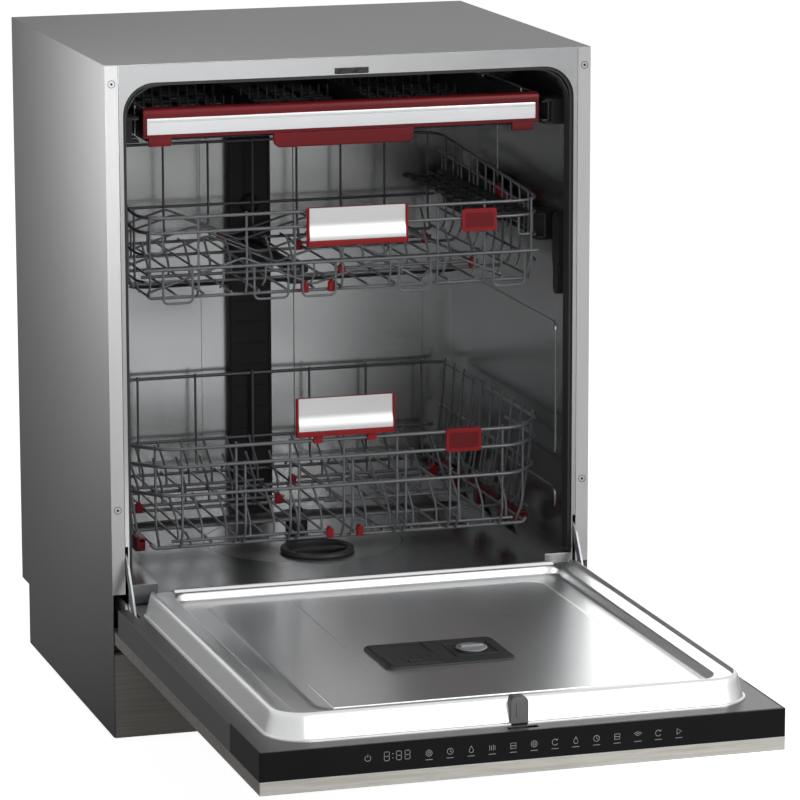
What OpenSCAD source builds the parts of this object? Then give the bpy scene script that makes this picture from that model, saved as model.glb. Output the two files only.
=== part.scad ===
// Built-in dishwasher with a drop-down door, two wire baskets and a cutlery tray.
// The frame has +Z up, the door opens towards -Y, and the door is open at rest with the racks in.

/* [Cabinet] */
// Width over the side panels
cabinet_w = 598; // [596:1:602]
// Height from the floor to the top panel
cabinet_h = 815; // [812:1:860]
// Depth of the cabinet behind its front edge
cabinet_d = 512; // [508:1:540]
// Thickness of the steel sheets
sheet_t = 0.8; // [0.6:0.1:1.2]
// Width of the side panels' folded front edges
edge_w = 16; // [15:0.5:17]
// Height at which those front edges end, above the hinges
edge_bottom = 182; // [178:1:190]
// Height of the notch for the hoses at the rear
notch_h = 84; // [70:1:90]
// Depth of that notch
notch_d = 40; // [34:1:44]
// Height of the panels above the floor
panel_lift = 6; // [4:1:9]
// Height of the plinth panel's top
plinth_top = 108; // [90:1:110]
// Thickness of the plinth panel
plinth_t = 15; // [10:1:16]
// Radius of a levelling foot
foot_r = 16; // [12:1:20]

/* [Tub] */
// From the cabinet's outer side to the inside of the tub
tub_side = 21.5; // [21:0.5:23]
// From the top of the cabinet to the tub's ceiling
tub_head = 22; // [18:1:25]
// Height of the tub's floor
tub_floor = 178; // [176:1:180]
// From the back of the cabinet to the inside of the tub's back
tub_rear = 27; // [22:1:30]
// Radius of the tub's upper corners
tub_r = 38; // [30:1:45]
// Thickness of the tub's wall
tub_t = 1; // [0.8:0.1:1.4]
// Height of the wheel tracks above the tub's floor
track_h = 15; // [13:1:16]
// Width of a wheel track
track_w = 34; // [30:1:36]
// Thickness of the door seal
seal_t = 4; // [3:0.5:4.5]
// Radius of the sump
sump_r = 125; // [118:1:128]

/* [Door] */
// Reach of the open door in front of the cabinet
door_reach = 655; // [650:1:656]
// From the cabinet's side to the door's side
door_side = 2; // [1.5:0.5:4]
// Height of the open door's inner face
door_face = 168; // [167:0.5:169]
// Thickness of the steel door
door_t = 32; // [30:1:33]
// Thickness of the decor panel
decor_t = 15; // [12:1:16]
// Depth of the hinge axis under the inner face
hinge_drop = 5; // [4:0.5:6]
// Gap between the closed door and the cabinet
door_gap = 1; // [0.8:0.1:2]
// Height of the liner's rim above the inner face
rim_h = 29; // [26:1:30]
// From the inside of the tub to the door liner's side
liner_side = 5; // [4.5:0.5:7.5]
// Corner radius of the liner
liner_r = 45; // [35:1:50]
// Length of the control panel's side returns
fascia_side = 120; // [80:5:160]

/* [Lower basket] */
// From the inside of the tub to the rim of the lower basket
low_side = 17.5; // [16.5:0.5:22.5]
// How much shorter the lower basket is than the tub
low_rear = 57; // [55:1:70]
// Height of its floor wires
low_floor = 222; // [221:1:226]
// Height of its rim
low_rim = 346; // [335:1:360]
// Radius of a basket wheel
wheel_r = 15; // [13.5:0.5:15.5]
// Width of a basket wheel
wheel_w = 9; // [7:0.5:10]
// Number of wheels on each side
wheel_count = 4; // [4:1:4]
// How far the lower basket draws out
low_travel = 550; // [500:5:560]
// Height of the plate tines
tine_h = 66; // [50:1:72]

/* [Upper basket] */
// From the inside of the tub to the rim of the upper basket
up_side = 27.5; // [25.5:0.5:32.5]
// How much shorter the upper basket is than the tub
up_rear = 65; // [60:1:85]
// From the tub's ceiling to the floor wires of the upper basket
up_drop = 262; // [253:1:264]
// Height of the upper basket's front wall over its floor wires
up_wall = 95; // [84:1:109]
// How much higher its rim is at the back
up_rim_rise = 26; // [10:1:30]
// How far the upper basket draws out
up_travel = 340; // [300:5:345]

/* [Cutlery tray] */
// From the inside of the tub to the tray's side
tray_side = 32.5; // [29.5:0.5:37.5]
// How much shorter the tray is than the tub
tray_rear = 60; // [57:1:75]
// From the tub's ceiling to the top of the tray
tray_head = 35; // [33:1:43]
// Height of the front bar
tray_bar_h = 36; // [30:1:38]
// How far the tray draws out
tray_travel = 300; // [260:5:305]

/* [Spray arms] */
// Radius of the lower and the middle spray arm
arm_r = 212; // [180:1:214]
// Radius of the ceiling spray arm
ceiling_arm_r = 95; // [70:1:120]
// Running clearance of a shaft in its bore
fit_gap = 0.05; // [0.02:0.01:0.09]

/* [Hidden] */
$fn = 48;

// Frame: the origin is the middle of the whole footprint with the door open.
front_y = (door_reach - cabinet_d) / 2;
hinge_y = -(hinge_drop + door_gap);
hinge_z = door_face - hinge_drop;
pin_r = 4;
half_w = cabinet_w / 2;
tub_half = half_w - tub_side;
tub_top = cabinet_h - tub_head;
tub_d = cabinet_d - tub_rear;
liner_half = tub_half - liner_side;
door_half = half_w - door_side;
skin_t = 1.2;
seat_gap = 0.3;
base_wall = 3;
base_rim = plinth_top - 3;

// Racks: all fronts stay behind the closed door's rim.
rim_depth = rim_h - door_gap;
rack_front = rim_depth + 10;
track_z = tub_floor + track_h;
wheel_x = tub_half - track_w + wheel_w;
wheel_z = track_z + seat_gap + wheel_r;
wheel_first = rack_front + 124;
axle_r = 2.5;
low_half = tub_half - low_side;
low_d = tub_d - low_rear;
wheel_pitch = (low_d - 134) / 3;
low_base_half = low_half - 22;
corner_cut = 42;
up_half = tub_half - up_side;
up_d = tub_d - up_rear;
up_floor = tub_top - up_drop;
up_rim = up_floor + up_wall;
tray_half = tub_half - tray_side;
tray_d = tub_d - tray_rear;
tray_top = tub_top - tray_head;
handle_t = 6.5;
lift_range = 50;

// Spray system
arm_y = rack_front + 218;
spindle_r = 8;
lower_arm_z = tub_floor + 21;
middle_arm_z = up_floor - 26;
feed_z = up_floor - 13.3;
ceiling_duct_h = 9;
filter_r = 40;
filter_y = arm_y - 95;

// Colours
satin = [0.62, 0.62, 0.63];
bright = [0.80, 0.80, 0.81];
dark = [0.12, 0.12, 0.13];
graphite = [0.33, 0.33, 0.34];
red = [0.62, 0.10, 0.12];
wood = [0.52, 0.50, 0.46];
zinc = [0.55, 0.56, 0.58];

function unit(v) = v / norm(v);
function mirror_x(p) = [-p[0], p[1], p[2]];

module home() translate([0, front_y, 0]) children();
module both_sides() { children(); mirror([1, 0, 0]) children(); }

// A straight piece of wire; turn keeps the flats of crossing wires apart.
module rod(a, b, d, turn = 22.5) {
  v = b - a;
  translate(a) rotate([0, acos(v[2] / norm(v)), atan2(v[1], v[0])])
    rotate(turn) cylinder(h = norm(v), d = d, $fn = 8);
}

// A wire bent at its inner points.
module bent_wire(pts, d) {
  last = len(pts) - 2;
  lap = d * 0.22;
  for (i = [0:last]) {
    u = unit(pts[i + 1] - pts[i]);
    rod(pts[i] - (i == 0 ? 0 : lap) * u, pts[i + 1] + (i == last ? 0 : lap) * u, d, 22.5 - (i % 2) * 9);
  }
}

// A flat bar with round ends from a to b.
module bar_2d(a, b, r) {
  n = r * unit([a[1] - b[1], b[0] - a[0]]);
  polygon([a + n, a - n, b - n, b + n]);
  translate(a) circle(r);
  translate(b) circle(r);
}

// A block from its lowest and highest corner.
module block(lo, hi) translate(lo) cube(hi - lo);

// A plate with round corners: r_front at low y, r_back at high y.
module rounded_plate(half, y0, y1, r_front, r_back) {
  translate([-half, y0 + r_front]) square([2 * half, y1 - y0 - r_front - r_back]);
  translate([-half + r_front, y0]) square([2 * (half - r_front), y1 - y0]);
  translate([-half + r_back, y1 - r_back - 1]) square([2 * (half - r_back), r_back + 1]);
  for (s = [-1, 1]) {
    translate([s * (half - r_front), y0 + r_front]) circle(r_front);
    translate([s * (half - r_back), y1 - r_back]) circle(r_back);
  }
}

// ---- Cabinet ----

module base_tray() color(dark) home() {
  half = half_w - sheet_t - seat_gap;
  wall = base_wall;
  y0 = plinth_t + seat_gap;
  y1 = cabinet_d - notch_d - 4;
  low = base_rim;
  step_y = 60;
  high = tub_floor - tub_t;
  difference() {
    union() {
      block([-half, y0, 20], [half, y1, low]);
      block([-half, step_y, low - 1], [half, y1, high]);
    }
    block([-half + wall, y0 + wall, 20 + wall], [half - wall, y1 - wall, high + 1]);
    block([-half + wall, step_y - 1, low], [half - wall, step_y + wall + 1, high + 1]);
  }
}

module side_panels() color(satin) home() both_sides() {
  translate([half_w, 0, 0]) rotate([90, 0, -90]) linear_extrude(sheet_t)
    polygon([[0, panel_lift], [-(cabinet_d - notch_d), panel_lift], [-(cabinet_d - notch_d), notch_h],
      [-cabinet_d, notch_h], [-cabinet_d, cabinet_h - sheet_t], [0, cabinet_h - sheet_t]]);
  block([half_w - edge_w, 0, edge_bottom], [half_w - sheet_t / 2, sheet_t, cabinet_h - sheet_t]);
}

module top_panel() color(satin) home()
  block([-half_w, 0, cabinet_h - sheet_t], [half_w, cabinet_d, cabinet_h]);

module back_panel() color(zinc) home() {
  half = half_w - sheet_t;
  difference() {
    block([-half, cabinet_d - sheet_t, notch_h], [half, cabinet_d, cabinet_h - sheet_t]);
    for (s = [-1, 1]) translate([s * (half_w - 119), cabinet_d + 1, cabinet_h - 115]) rotate([90, 0, 0]) cylinder(h = 4, r = 20);
  }
  for (z = [notch_h + 30, cabinet_h - 60])
    block([-tub_half, tub_d + tub_t, z], [tub_half, cabinet_d - sheet_t, z + 25]);
}

// Inner cross-section of the tub, grown by g.
module tub_section(g) {
  inner = tub_half - track_w;
  translate([-tub_half - g, track_z - g]) square([2 * (tub_half + g), tub_top - tub_r - track_z + g]);
  translate([-tub_half + tub_r, track_z]) square([2 * (tub_half - tub_r), tub_top + g - track_z]);
  translate([-inner - g, tub_floor - g]) square([2 * (inner + g), track_h + 2 * g]);
  for (s = [-1, 1]) translate([s * (tub_half - tub_r), tub_top - tub_r]) circle(tub_r + g);
}

module tub_prism(g, y0, y1) translate([0, y1, 0]) rotate([90, 0, 0]) linear_extrude(y1 - y0) tub_section(g);

module tub() color(bright) home() {
  flange_half = half_w - edge_w - 0.4;
  slot_inner = tub_half + tub_t + 0.7;
  difference() {
    union() {
      tub_prism(tub_t, 0, tub_d + tub_t);
      difference() {
        block([-flange_half, 0, tub_floor - 8], [flange_half, tub_t, cabinet_h - sheet_t]);
        both_sides() block([slot_inner, -1, tub_floor - 9], [flange_half + 1, tub_t + 1, hinge_z + 77]);
        block([-21, -1, tub_top + 1.2], [21, tub_t + 1, tub_top + 8.2]);
      }
    }
    tub_prism(0, -1, tub_d);
    translate([0, arm_y - 30, tub_floor - 5]) cylinder(h = 10, r = sump_r);
  }
}

module door_seal() color(dark) home() difference() {
  tub_prism(0, 3, 24);
  tub_prism(-seal_t, 2, 25);
  block([-half_w, 0, 0], [half_w, 30, track_z + 5]);
}

module plinth_panel() color(wood) home()
  block([-half_w + sheet_t + 0.7, 0, panel_lift], [half_w - sheet_t - 0.7, plinth_t, plinth_top]);

// The bracket's outline stays clear of the sweep of the door's lower end.
module hinge_brackets() color(zinc) home() both_sides() {
  x0 = tub_half + tub_t + 5.5;
  boss = 10.5;
  foot_y = hinge_y + 60;
  translate([x0, 0, 0]) rotate([90, 0, 90]) linear_extrude(3) {
    translate([hinge_y, hinge_z]) circle(boss);
    polygon([[hinge_y, hinge_z - boss], [hinge_y, hinge_z + boss], [hinge_y + 36, hinge_z + 10],
      [foot_y + 8, hinge_z + 8], [foot_y + 8, base_rim + 0.1], [foot_y, base_rim + 0.1],
      [foot_y, hinge_z - 42], [hinge_y + 14, hinge_z - boss]]);
  }
  translate([x0 - 4.4, hinge_y, hinge_z]) rotate([0, 90, 0]) cylinder(h = 5.4, r = pin_r);
  block([x0, 30, base_rim], [half_w - sheet_t - 0.6, foot_y + 3, base_rim + 4]);
  // Balance spring
  translate([x0 + 1.5, foot_y + 7, 135]) rotate([-90, 0, 0]) cylinder(h = 170, r = 4.5);
}

module strike_plate() color(dark) home() {
  z0 = tub_top + 1.5;
  block([-20.5, 0.2, z0], [20.5, 1.4, z0 + 6.4]);
  block([-19, 1.3, z0 + 0.5], [19, 12, z0 + 6]);
  for (s = [-1, 1]) block([s * 10 - 5, -7, z0 + 2.2], [s * 10 + 5, 1.4, z0 + 4.2]);
}

module levelling_feet() color(dark) home()
  for (x = [-half_w + 49, half_w - 49], y = [60, cabinet_d - 82]) translate([x, y, 0]) {
    cylinder(h = 5, r = foot_r);
    cylinder(h = 20, r = 6);
  }

module panel_screws() color(zinc) home() both_sides()
  for (z = [tub_top, tub_floor + 107]) translate([half_w - edge_w / 2, 0, z]) rotate([90, 0, 0]) difference() {
    cylinder(h = 0.5, r = 4);
    translate([0, 0, 0.2]) cylinder(h = 1, r = 1.4);
  }

// ---- Sump, pumps and water paths ----

module sump() color(dark) home() translate([0, arm_y - 30, 0]) {
  bottom = 70;
  difference() {
    union() {
      translate([0, 0, bottom]) cylinder(h = tub_floor - tub_t - bottom - seat_gap, r = sump_r - 1);
      translate([0, 0, tub_floor - tub_t - 6]) cylinder(h = 6 - seat_gap, r = sump_r + 9);
    }
    translate([0, 0, bottom + 4]) cylinder(h = 200, r = sump_r - 5);
  }
  // Spindle of the lower spray arm
  translate([0, 30, bottom + 3]) {
    cylinder(h = lower_arm_z - bottom - 3, r = 14);
    cylinder(h = lower_arm_z - bottom + 10, r = spindle_r);
  }
}

module filter_plate() color(bright) home() translate([0, arm_y - 30, tub_floor - tub_t - seat_gap]) difference() {
  cylinder(h = 1.2, r = sump_r - 1);
  translate([0, 30, -1]) cylinder(h = 4, r = 15);
  translate([0, filter_y - arm_y + 30, -1]) cylinder(h = 4, r = filter_r + 1);
}

module filter_cylinder() color(graphite) home() translate([0, filter_y, 74.3]) {
  top = tub_floor + 6 - 74.3;
  difference() {
    union() {
      cylinder(h = top - 5, r = filter_r - 1);
      translate([0, 0, tub_floor + 0.2 - 74.3]) cylinder(h = 5.8, r = filter_r + 6);
    }
    translate([0, 0, 3]) cylinder(h = top, r = filter_r - 4);
  }
  block([-filter_r + 3, -3, top - 6], [filter_r - 3, 3, top - 1]);
}

module pump_set() color(dark) home() {
  x0 = sump_r - 1;
  translate([x0 + 0.2, arm_y - 30, base_rim]) rotate([0, 90, 0]) {
    cylinder(h = 14, r = 20);
    translate([0, 0, 13]) cylinder(h = 30, r = 46);
    translate([0, 0, 42]) cylinder(h = 75, r = 38);
  }
  translate([-x0 - 0.2, arm_y - 30, base_rim - 5]) rotate([0, -90, 0]) {
    cylinder(h = 16, r = 12);
    translate([0, 0, 15]) cylinder(h = 45, r = 26);
  }
}

module hose_connectors() color(dark) home() {
  y0 = cabinet_d - notch_d - 4;
  for (p = [[-1, 11], [1, 13]]) translate([p[0] * (half_w - 109), y0, 56]) rotate([-90, 0, 0]) difference() {
    union() {
      cylinder(h = 4, r = p[1] + 8);
      cylinder(h = 30, r = p[1]);
    }
    translate([0, 0, 6]) cylinder(h = 30, r = p[1] - 3);
  }
}

module feed_duct() color(dark) home() {
  y0 = tub_d - 14;
  half = 28;
  top = tub_top - seat_gap;
  block([-half, y0, tub_floor], [half, tub_d, top]);
  block([-half, arm_y, top - ceiling_duct_h], [half, y0 - seat_gap, top]);
  translate([0, arm_y, top - ceiling_duct_h]) cylinder(h = ceiling_duct_h, r = half);
  translate([0, arm_y, top - ceiling_duct_h - 13]) cylinder(h = 14, r = 6);
  translate([0, arm_y, top - ceiling_duct_h - 15]) cylinder(h = 3, r = 10);
  // Docking ports of the middle feed tube, one for each height of the basket
  for (z = [feed_z, feed_z + lift_range]) translate([0, y0 + 1, z]) rotate([90, 0, 0]) cylinder(h = 3.5, r = 12);
}

// One spray arm: tapered blades round a hub, bored for its spindle.
module spray_arm(r, hub_r, bore, t, hub_h) difference() {
  union() {
    linear_extrude(t) for (a = [0, 180]) rotate(a) {
      polygon([[0, -15], [r - 12, -11], [r - 12, 11], [0, 15]]);
      translate([r - 12, 0]) circle(11);
    }
    translate([0, 0, (t - hub_h) / 2]) cylinder(h = hub_h, r = hub_r);
  }
  translate([0, 0, -hub_h]) cylinder(h = 3 * hub_h, r = bore);
  for (i = [0:5], s = [-1, 1]) translate([s * (45 + i * (r - 70) / 5.5), s * (i % 2 ? 3 : -3), t / 2])
    cylinder(h = t, r = 1.6);
}

module lower_spray_arm() color(graphite) home() translate([0, arm_y, lower_arm_z + 0.4])
  spray_arm(arm_r, 20, spindle_r + fit_gap, 8, 8);

module middle_feed_tube() color(dark) home() {
  z0 = feed_z;
  y1 = tub_d - 14 - 2.8;
  translate([0, arm_y, middle_arm_z - 3]) cylinder(h = z0 - middle_arm_z + 3, r = 7);
  translate([0, arm_y, middle_arm_z - 5]) cylinder(h = 3, r = 11);
  translate([0, arm_y, z0 - 4]) cylinder(h = 9, r = 17);
  translate([0, y1, z0]) rotate([90, 0, 0]) cylinder(h = y1 - arm_y, r = 8);
}

module middle_spray_arm() color(graphite) home() translate([0, arm_y, middle_arm_z - 1.6])
  spray_arm(arm_r, 18, 7 + fit_gap, 5, 5);

module ceiling_spray_arm() color(graphite) home()
  translate([0, arm_y, tub_top - seat_gap - ceiling_duct_h - 11]) spray_arm(ceiling_arm_r, 14, 6 + fit_gap, 6, 6);

// ---- Rails ----

tray_rail_z = tray_top - 36;
tray_rail_h = 24;
tray_rail_x = tub_half - 18;
basket_rail_z = up_floor + 41;
basket_rail_h = 30;
basket_rail_x = tub_half - 8;
rail_t = 1.5;

// A C-shaped rail, open towards the middle of the tub.
module c_rail(x_out, depth, z0, h, y0, y1) {
  block([x_out - rail_t, y0, z0], [x_out, y1, z0 + h]);
  block([x_out - depth, y0, z0], [x_out - rail_t / 2, y1, z0 + rail_t]);
  block([x_out - depth, y0, z0 + h - rail_t], [x_out - rail_t / 2, y1, z0 + h]);
}

// A wall bracket that holds a rail between two lips.
module rail_bracket(x_out, depth, z0, h, y0, y1) {
  gap = 0.4;
  lip = 3;
  block([x_out + gap, y0, z0 - gap - lip], [tub_half - seat_gap, y1, z0 + h + gap + lip]);
  block([x_out - depth + 1, y0, z0 - gap - lip], [x_out + gap + 1, y1, z0 - gap]);
  block([x_out - depth + 1, y0, z0 + h + gap], [x_out + gap + 1, y1, z0 + h + gap + lip]);
}

module tray_rails() color(zinc) home() both_sides()
  c_rail(tray_rail_x, 9, tray_rail_z, tray_rail_h, rack_front, rack_front + tray_d - 15);

module basket_rails() color(zinc) home() both_sides()
  c_rail(basket_rail_x, 10, basket_rail_z, basket_rail_h, rack_front + 40, rack_front + up_d);

module rail_brackets() color(dark) home() both_sides() {
  for (y = [rim_depth + 2, rack_front + tray_d / 2 - 12.5])
    rail_bracket(tray_rail_x, 9, tray_rail_z, tray_rail_h, y, y + 26);
  for (y = [rack_front + 44, rack_front + up_d / 2 - 10])
    rail_bracket(basket_rail_x, 10, basket_rail_z, basket_rail_h, y, y + 26);
  // A long guide tongue stands at the mouth of the tub.
  translate([basket_rail_x + 0.4, 0, 0]) rotate([90, 0, 90]) linear_extrude(tub_half - seat_gap - basket_rail_x - 0.4) {
    y = rim_depth + 15;
    bar_2d([y, up_floor - 14], [y, up_floor + 20], 9);
    bar_2d([y, up_floor + 20], [y, up_floor + 66], 12);
  }
}

// ---- Door ----

module door_panel() color(graphite) home() {
  z0 = door_face - door_t;
  y1 = 32;
  y0 = -door_reach + 3.3;
  slot_x = tub_half + tub_t + 0.7;
  difference() {
    block([-door_half, y0, z0], [door_half, y1, door_face]);
    // Room for the control panel's returns
    both_sides() block([door_half - 2.3, y0 - 1, z0 - 1], [door_half + 1, -door_reach + fascia_side + 0.3, door_face + 1]);
    // Hollow inside, open above under the liner
    block([-door_half + 3.5, y0 + skin_t, z0 + skin_t], [door_half - 3.5, y1 - skin_t, door_face - skin_t]);
    translate([0, 0, door_face - 2]) linear_extrude(4)
      rounded_plate(liner_half + 0.4, -door_reach + 27.6, -37.6, liner_r + 0.4, 20);
    // Corners cut away round the hinges
    both_sides() {
      block([slot_x, -18, z0 - 1], [door_half + 1, y1 + 1, door_face + 1]);
      block([slot_x, -60, door_face - 2], [slot_x + 4.6, -17, door_face + 1]);
    }
    // Slot for the strike
    block([-17, -door_reach + 10, door_face - 2], [17, -door_reach + 19, door_face + 1]);
  }
}

module door_liner() color(bright) home() {
  top = door_face + rim_h;
  y0 = -door_reach + 28;
  y1 = -38;
  rim = 13.5;
  floor_z = top - 14;
  ledge = 4;
  difference() {
    translate([0, 0, door_face - 10]) linear_extrude(rim_h + 10) rounded_plate(liner_half, y0, y1, liner_r, 20);
    translate([0, 0, top - ledge]) linear_extrude(10)
      rounded_plate(liner_half - rim, y0 + rim, y1 - rim, liner_r - rim, 8);
    // Wheels leave over the back edge
    both_sides() block([liner_half - 36, y1 - rim - 9, top - ledge], [liner_half - rim, y1 + 1, top + 1]);
    translate([0, 0, floor_z]) linear_extrude(20)
      rounded_plate(liner_half - 31, y0 + rim + 12, y1 - rim - 6, liner_r - rim, 8);
    translate([0, 0, door_face - 11]) linear_extrude(floor_z - skin_t - door_face + 11)
      rounded_plate(liner_half - skin_t, y0 + skin_t, y1 - skin_t, liner_r - skin_t, 20 - skin_t);
    // Opening for the dispenser
    block(dispenser_lo + [-0.3, -0.3, -40], [dispenser_hi[0] + 0.3, dispenser_hi[1] + 0.3, top + 1]);
    // Notch for the latch
    block([-11, y0 - 1, door_face - 11], [11, y0 + rim - 1, top + 1]);
  }
}

module decor_panel() color(wood) home()
  block([-door_half, -door_reach, door_face - door_t - decor_t], [door_half, 24, door_face - door_t]);

module control_fascia() color(dark) home() {
  z0 = door_face - door_t;
  difference() {
    block([-door_half, -door_reach, z0], [door_half, -door_reach + fascia_side, door_face]);
    block([-door_half + 2, -door_reach + 3, z0 - 1], [door_half - 2, 0, door_face + 1]);
  }
}

module control_board() color([0.1, 0.35, 0.2]) home()
  block([-door_half + 97, -door_reach + 4.8, door_face - door_t + 3], [door_half - 117, -door_reach + 6.4, door_face - 5]);

dispenser_lo = [-90, -437, 158];
dispenser_hi = [62, -337, 190];
cup_lo = [-82, -430, 174];
cup_hi = [-26, -390, 200];

module dispenser_housing() color(dark) home() difference() {
  block(dispenser_lo, dispenser_hi);
  block(cup_lo, cup_hi);
  block([cup_lo[0] - 2.3, cup_lo[1] - 2.3, dispenser_hi[2] - 2.3], [cup_hi[0] + 2.3, dispenser_hi[1] - 4, 200]);
  translate([24, -387, 176]) cylinder(h = 20, r = 15);
}

module dispenser_lid() color(graphite) home() {
  z0 = dispenser_hi[2] - 2;
  block([cup_lo[0] - 2, cup_lo[1] - 2, z0], [cup_hi[0] + 2, cup_hi[1] + 2, z0 + 2]);
  block([-62, cup_lo[1] + 4, z0 + 1.5], [-46, cup_lo[1] + 9, z0 + 4]);
}

module rinse_aid_cap() color(graphite) home() translate([24, -387, 0]) {
  translate([0, 0, 178]) cylinder(h = 13, r = 14.95);
  translate([0, 0, dispenser_hi[2] + 0.3]) cylinder(h = 1.5, r = 18);
  block([-14, -2, dispenser_hi[2] + 1], [14, 2, dispenser_hi[2] + 4.5]);
}

module door_latch() color(graphite) home() {
  y0 = -door_reach + 28;
  z0 = door_face - 22;
  difference() {
    union() {
      block([-10.6, y0 + 1, door_face - 12], [10.6, y0 + 12, door_face + rim_h - 2]);
      block([-32, -door_reach + 8, z0], [32, y0 + 12, door_face - 10.5]);
    }
    block([-17, -door_reach + 9, z0 + 3], [17, -door_reach + 20, door_face]);
    block([-4, y0 - 1, door_face + 6], [4, y0 + 6, door_face + rim_h]);
  }
}

module hinge_arms() color(zinc) home() both_sides()
  translate([tub_half + tub_t + 1.5, 0, 0]) rotate([90, 0, 90]) linear_extrude(2.5) difference() {
    union() {
      polygon([[-125, door_face - 17], [hinge_y, hinge_z - 9], [hinge_y + 8, hinge_z], [hinge_y, hinge_z + 3.5],
        [-125, door_face - 3]]);
      translate([hinge_y, hinge_z]) circle(9);
      polygon([[-45, door_face - 4], [-31, door_face - 4], [1, hinge_z + 50], [10, hinge_z + 62], [4, hinge_z + 68],
        [-9, hinge_z + 58]]);
    }
    translate([hinge_y, hinge_z]) circle(pin_r + fit_gap);
  }

// ---- Cutlery tray ----

module tray_frame() color(dark) home() {
  half = tray_half - 8;
  y0 = rack_front + 4;
  y1 = rack_front + tray_d - 10;
  z0 = tray_top - 40;
  wall_h = 34;
  wall_t = 3;
  gap = 0.2;
  // Floor grid
  for (x = [-half + 1.5:34:half - 2]) block([x - 1.5, y0, z0], [x + 1.5, y1, z0 + 5]);
  for (y = [y0 + 3:32:y1]) block([-half, y - 1.5, z0 + 0.5], [half, y + 1.5, z0 + 4.5]);
  // Two low walls part the tray in three fields
  for (x = [-0.3 * half, 0.31 * half]) block([x - 1.2, y0 + 4, z0 + 1], [x + 1.2, y1 - 3, z0 + 22]);
  both_sides() {
    block([half + gap, y0, z0], [half + gap + wall_t, y1, z0 + wall_h]);
    // Slider blocks that run in the rails
    for (y = [rack_front + 170, y1 - 30])
      block([half + gap + wall_t - 0.5, y, tray_rail_z + 2], [tray_rail_x - rail_t - 0.5, y + 20, tray_rail_z + tray_rail_h - 2]);
  }
  block([-half, y1 + gap, z0], [half, y1 + gap + wall_t, z0 + wall_h]);
}

module tray_bar() color(red) home() {
  half = tray_half;
  z0 = tray_top - tray_bar_h;
  y0 = rack_front - 4;
  difference() {
    union() {
      block([-half, y0, z0], [half, rack_front + 3.7, tray_top]);
      both_sides() block([half - 34, y0 + 1, z0 - 10], [half - 6, rack_front + 3, z0 + 1]);
      block([-88, y0 - 2, z0 - 17], [88, rack_front, z0 + 1]);
    }
    // Seat of the metal strip
    block([-half + 4, y0 - 1, z0 + 4], [half + 1, y0 + 1, z0 + 24]);
  }
}

module tray_strip() color(bright) home() {
  half = tray_half;
  z0 = tray_top - tray_bar_h;
  block([-half + 4.2, rack_front - 4.4, z0 + 4.2], [half, rack_front - 3.1, z0 + 23.8]);
}

// ---- Upper basket ----

function up_rim_z(y) = up_rim + up_rim_rise * (y - rack_front) / up_d;

module basket_carriers() color(dark) home() both_sides() {
  y0 = rack_front + 224;
  y1 = rack_front + up_d - 18;
  x0 = up_half + 2.35;
  x1 = basket_rail_x - 10.6;
  block([x0, y0, basket_rail_z - 14], [x1, y1, basket_rail_z + 46]);
  for (y = [y0 + 10, y1 - 22])
    block([x1 - 0.5, y, basket_rail_z + 2], [basket_rail_x - rail_t - 0.5, y + 20, basket_rail_z + basket_rail_h - 2]);
}

// A row of tines on its own base wire; the tips lean to the left. A folding row turns on a round wire.
module tine_row(x0, count, pitch, y, z, h, lean, folds = false) {
  x1 = x0 + (count - 1) * pitch + 8;
  if (folds) translate([x0 - 8, y, z]) rotate([0, 90, 0]) cylinder(h = x1 - x0 + 8, d = 4, $fn = 32);
  else rod([x0 - 8, y, z], [x1, y, z], 4, 11);
  for (i = [0:count - 1]) {
    x = x0 + i * pitch;
    bent_wire([[x, y, z - 0.8], [x, y, z + h * 0.35], [x - lean, y, z + h]], 3);
  }
}

// A flat grid of wires: long ones at z, cross ones below or above by dz.
module wire_grid(half, edge, y0, y1, pitch, z, dz, d_long, d_cross) {
  for (x = [-edge:pitch:edge]) rod([x, y0, z], [x, y1, z], d_long);
  for (i = [0:4]) rod([-half, cross_y(i, y0, y1), z + dz], [half, cross_y(i, y0, y1), z + dz], d_cross, 11);
}

function cross_y(i, y0, y1) = y0 + 2 + i * (y1 - y0 - 4) / 4;

up_y0 = rack_front + 12;
up_y1 = rack_front + up_d - 14;
low_y0 = rack_front + 16;
low_y1 = rack_front + low_d - 12;

ridges = [[0, 2.9], [3.5, 40], [6, 2.9], [8.6, 29], [10, 2.9], [11, 32], [13, 2.9]];

module upper_floor() color(graphite) home() {
  wire_grid(up_half - 11, up_half - 12, up_y0, up_y1, 34, up_floor, -3, 3.2, 4);
  for (k = [1, 3]) tine_row(30, floor((up_half - 82) / 28) + 1, 28, cross_y(k, up_y0, up_y1), up_floor + 4, 42, 8);
  // Ridged wires that keep bowls and glasses upright, low on the floor wires named by their number
  for (y = [up_y0 + 6, up_y1 - 6])
    bent_wire([for (p = ridges) [-(up_half - 12) + 34 * p[0], y, up_floor + p[1]]], 3);
}

// Levels of the side and front wires as shares of the wall's height
side_levels = [0.12, 0.5, 0.8];
front_loops = [[-up_half + 28, -up_half + 64], [-110, -68], [-50, -9], [70, 110], [up_half - 60, up_half - 20]];

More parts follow.
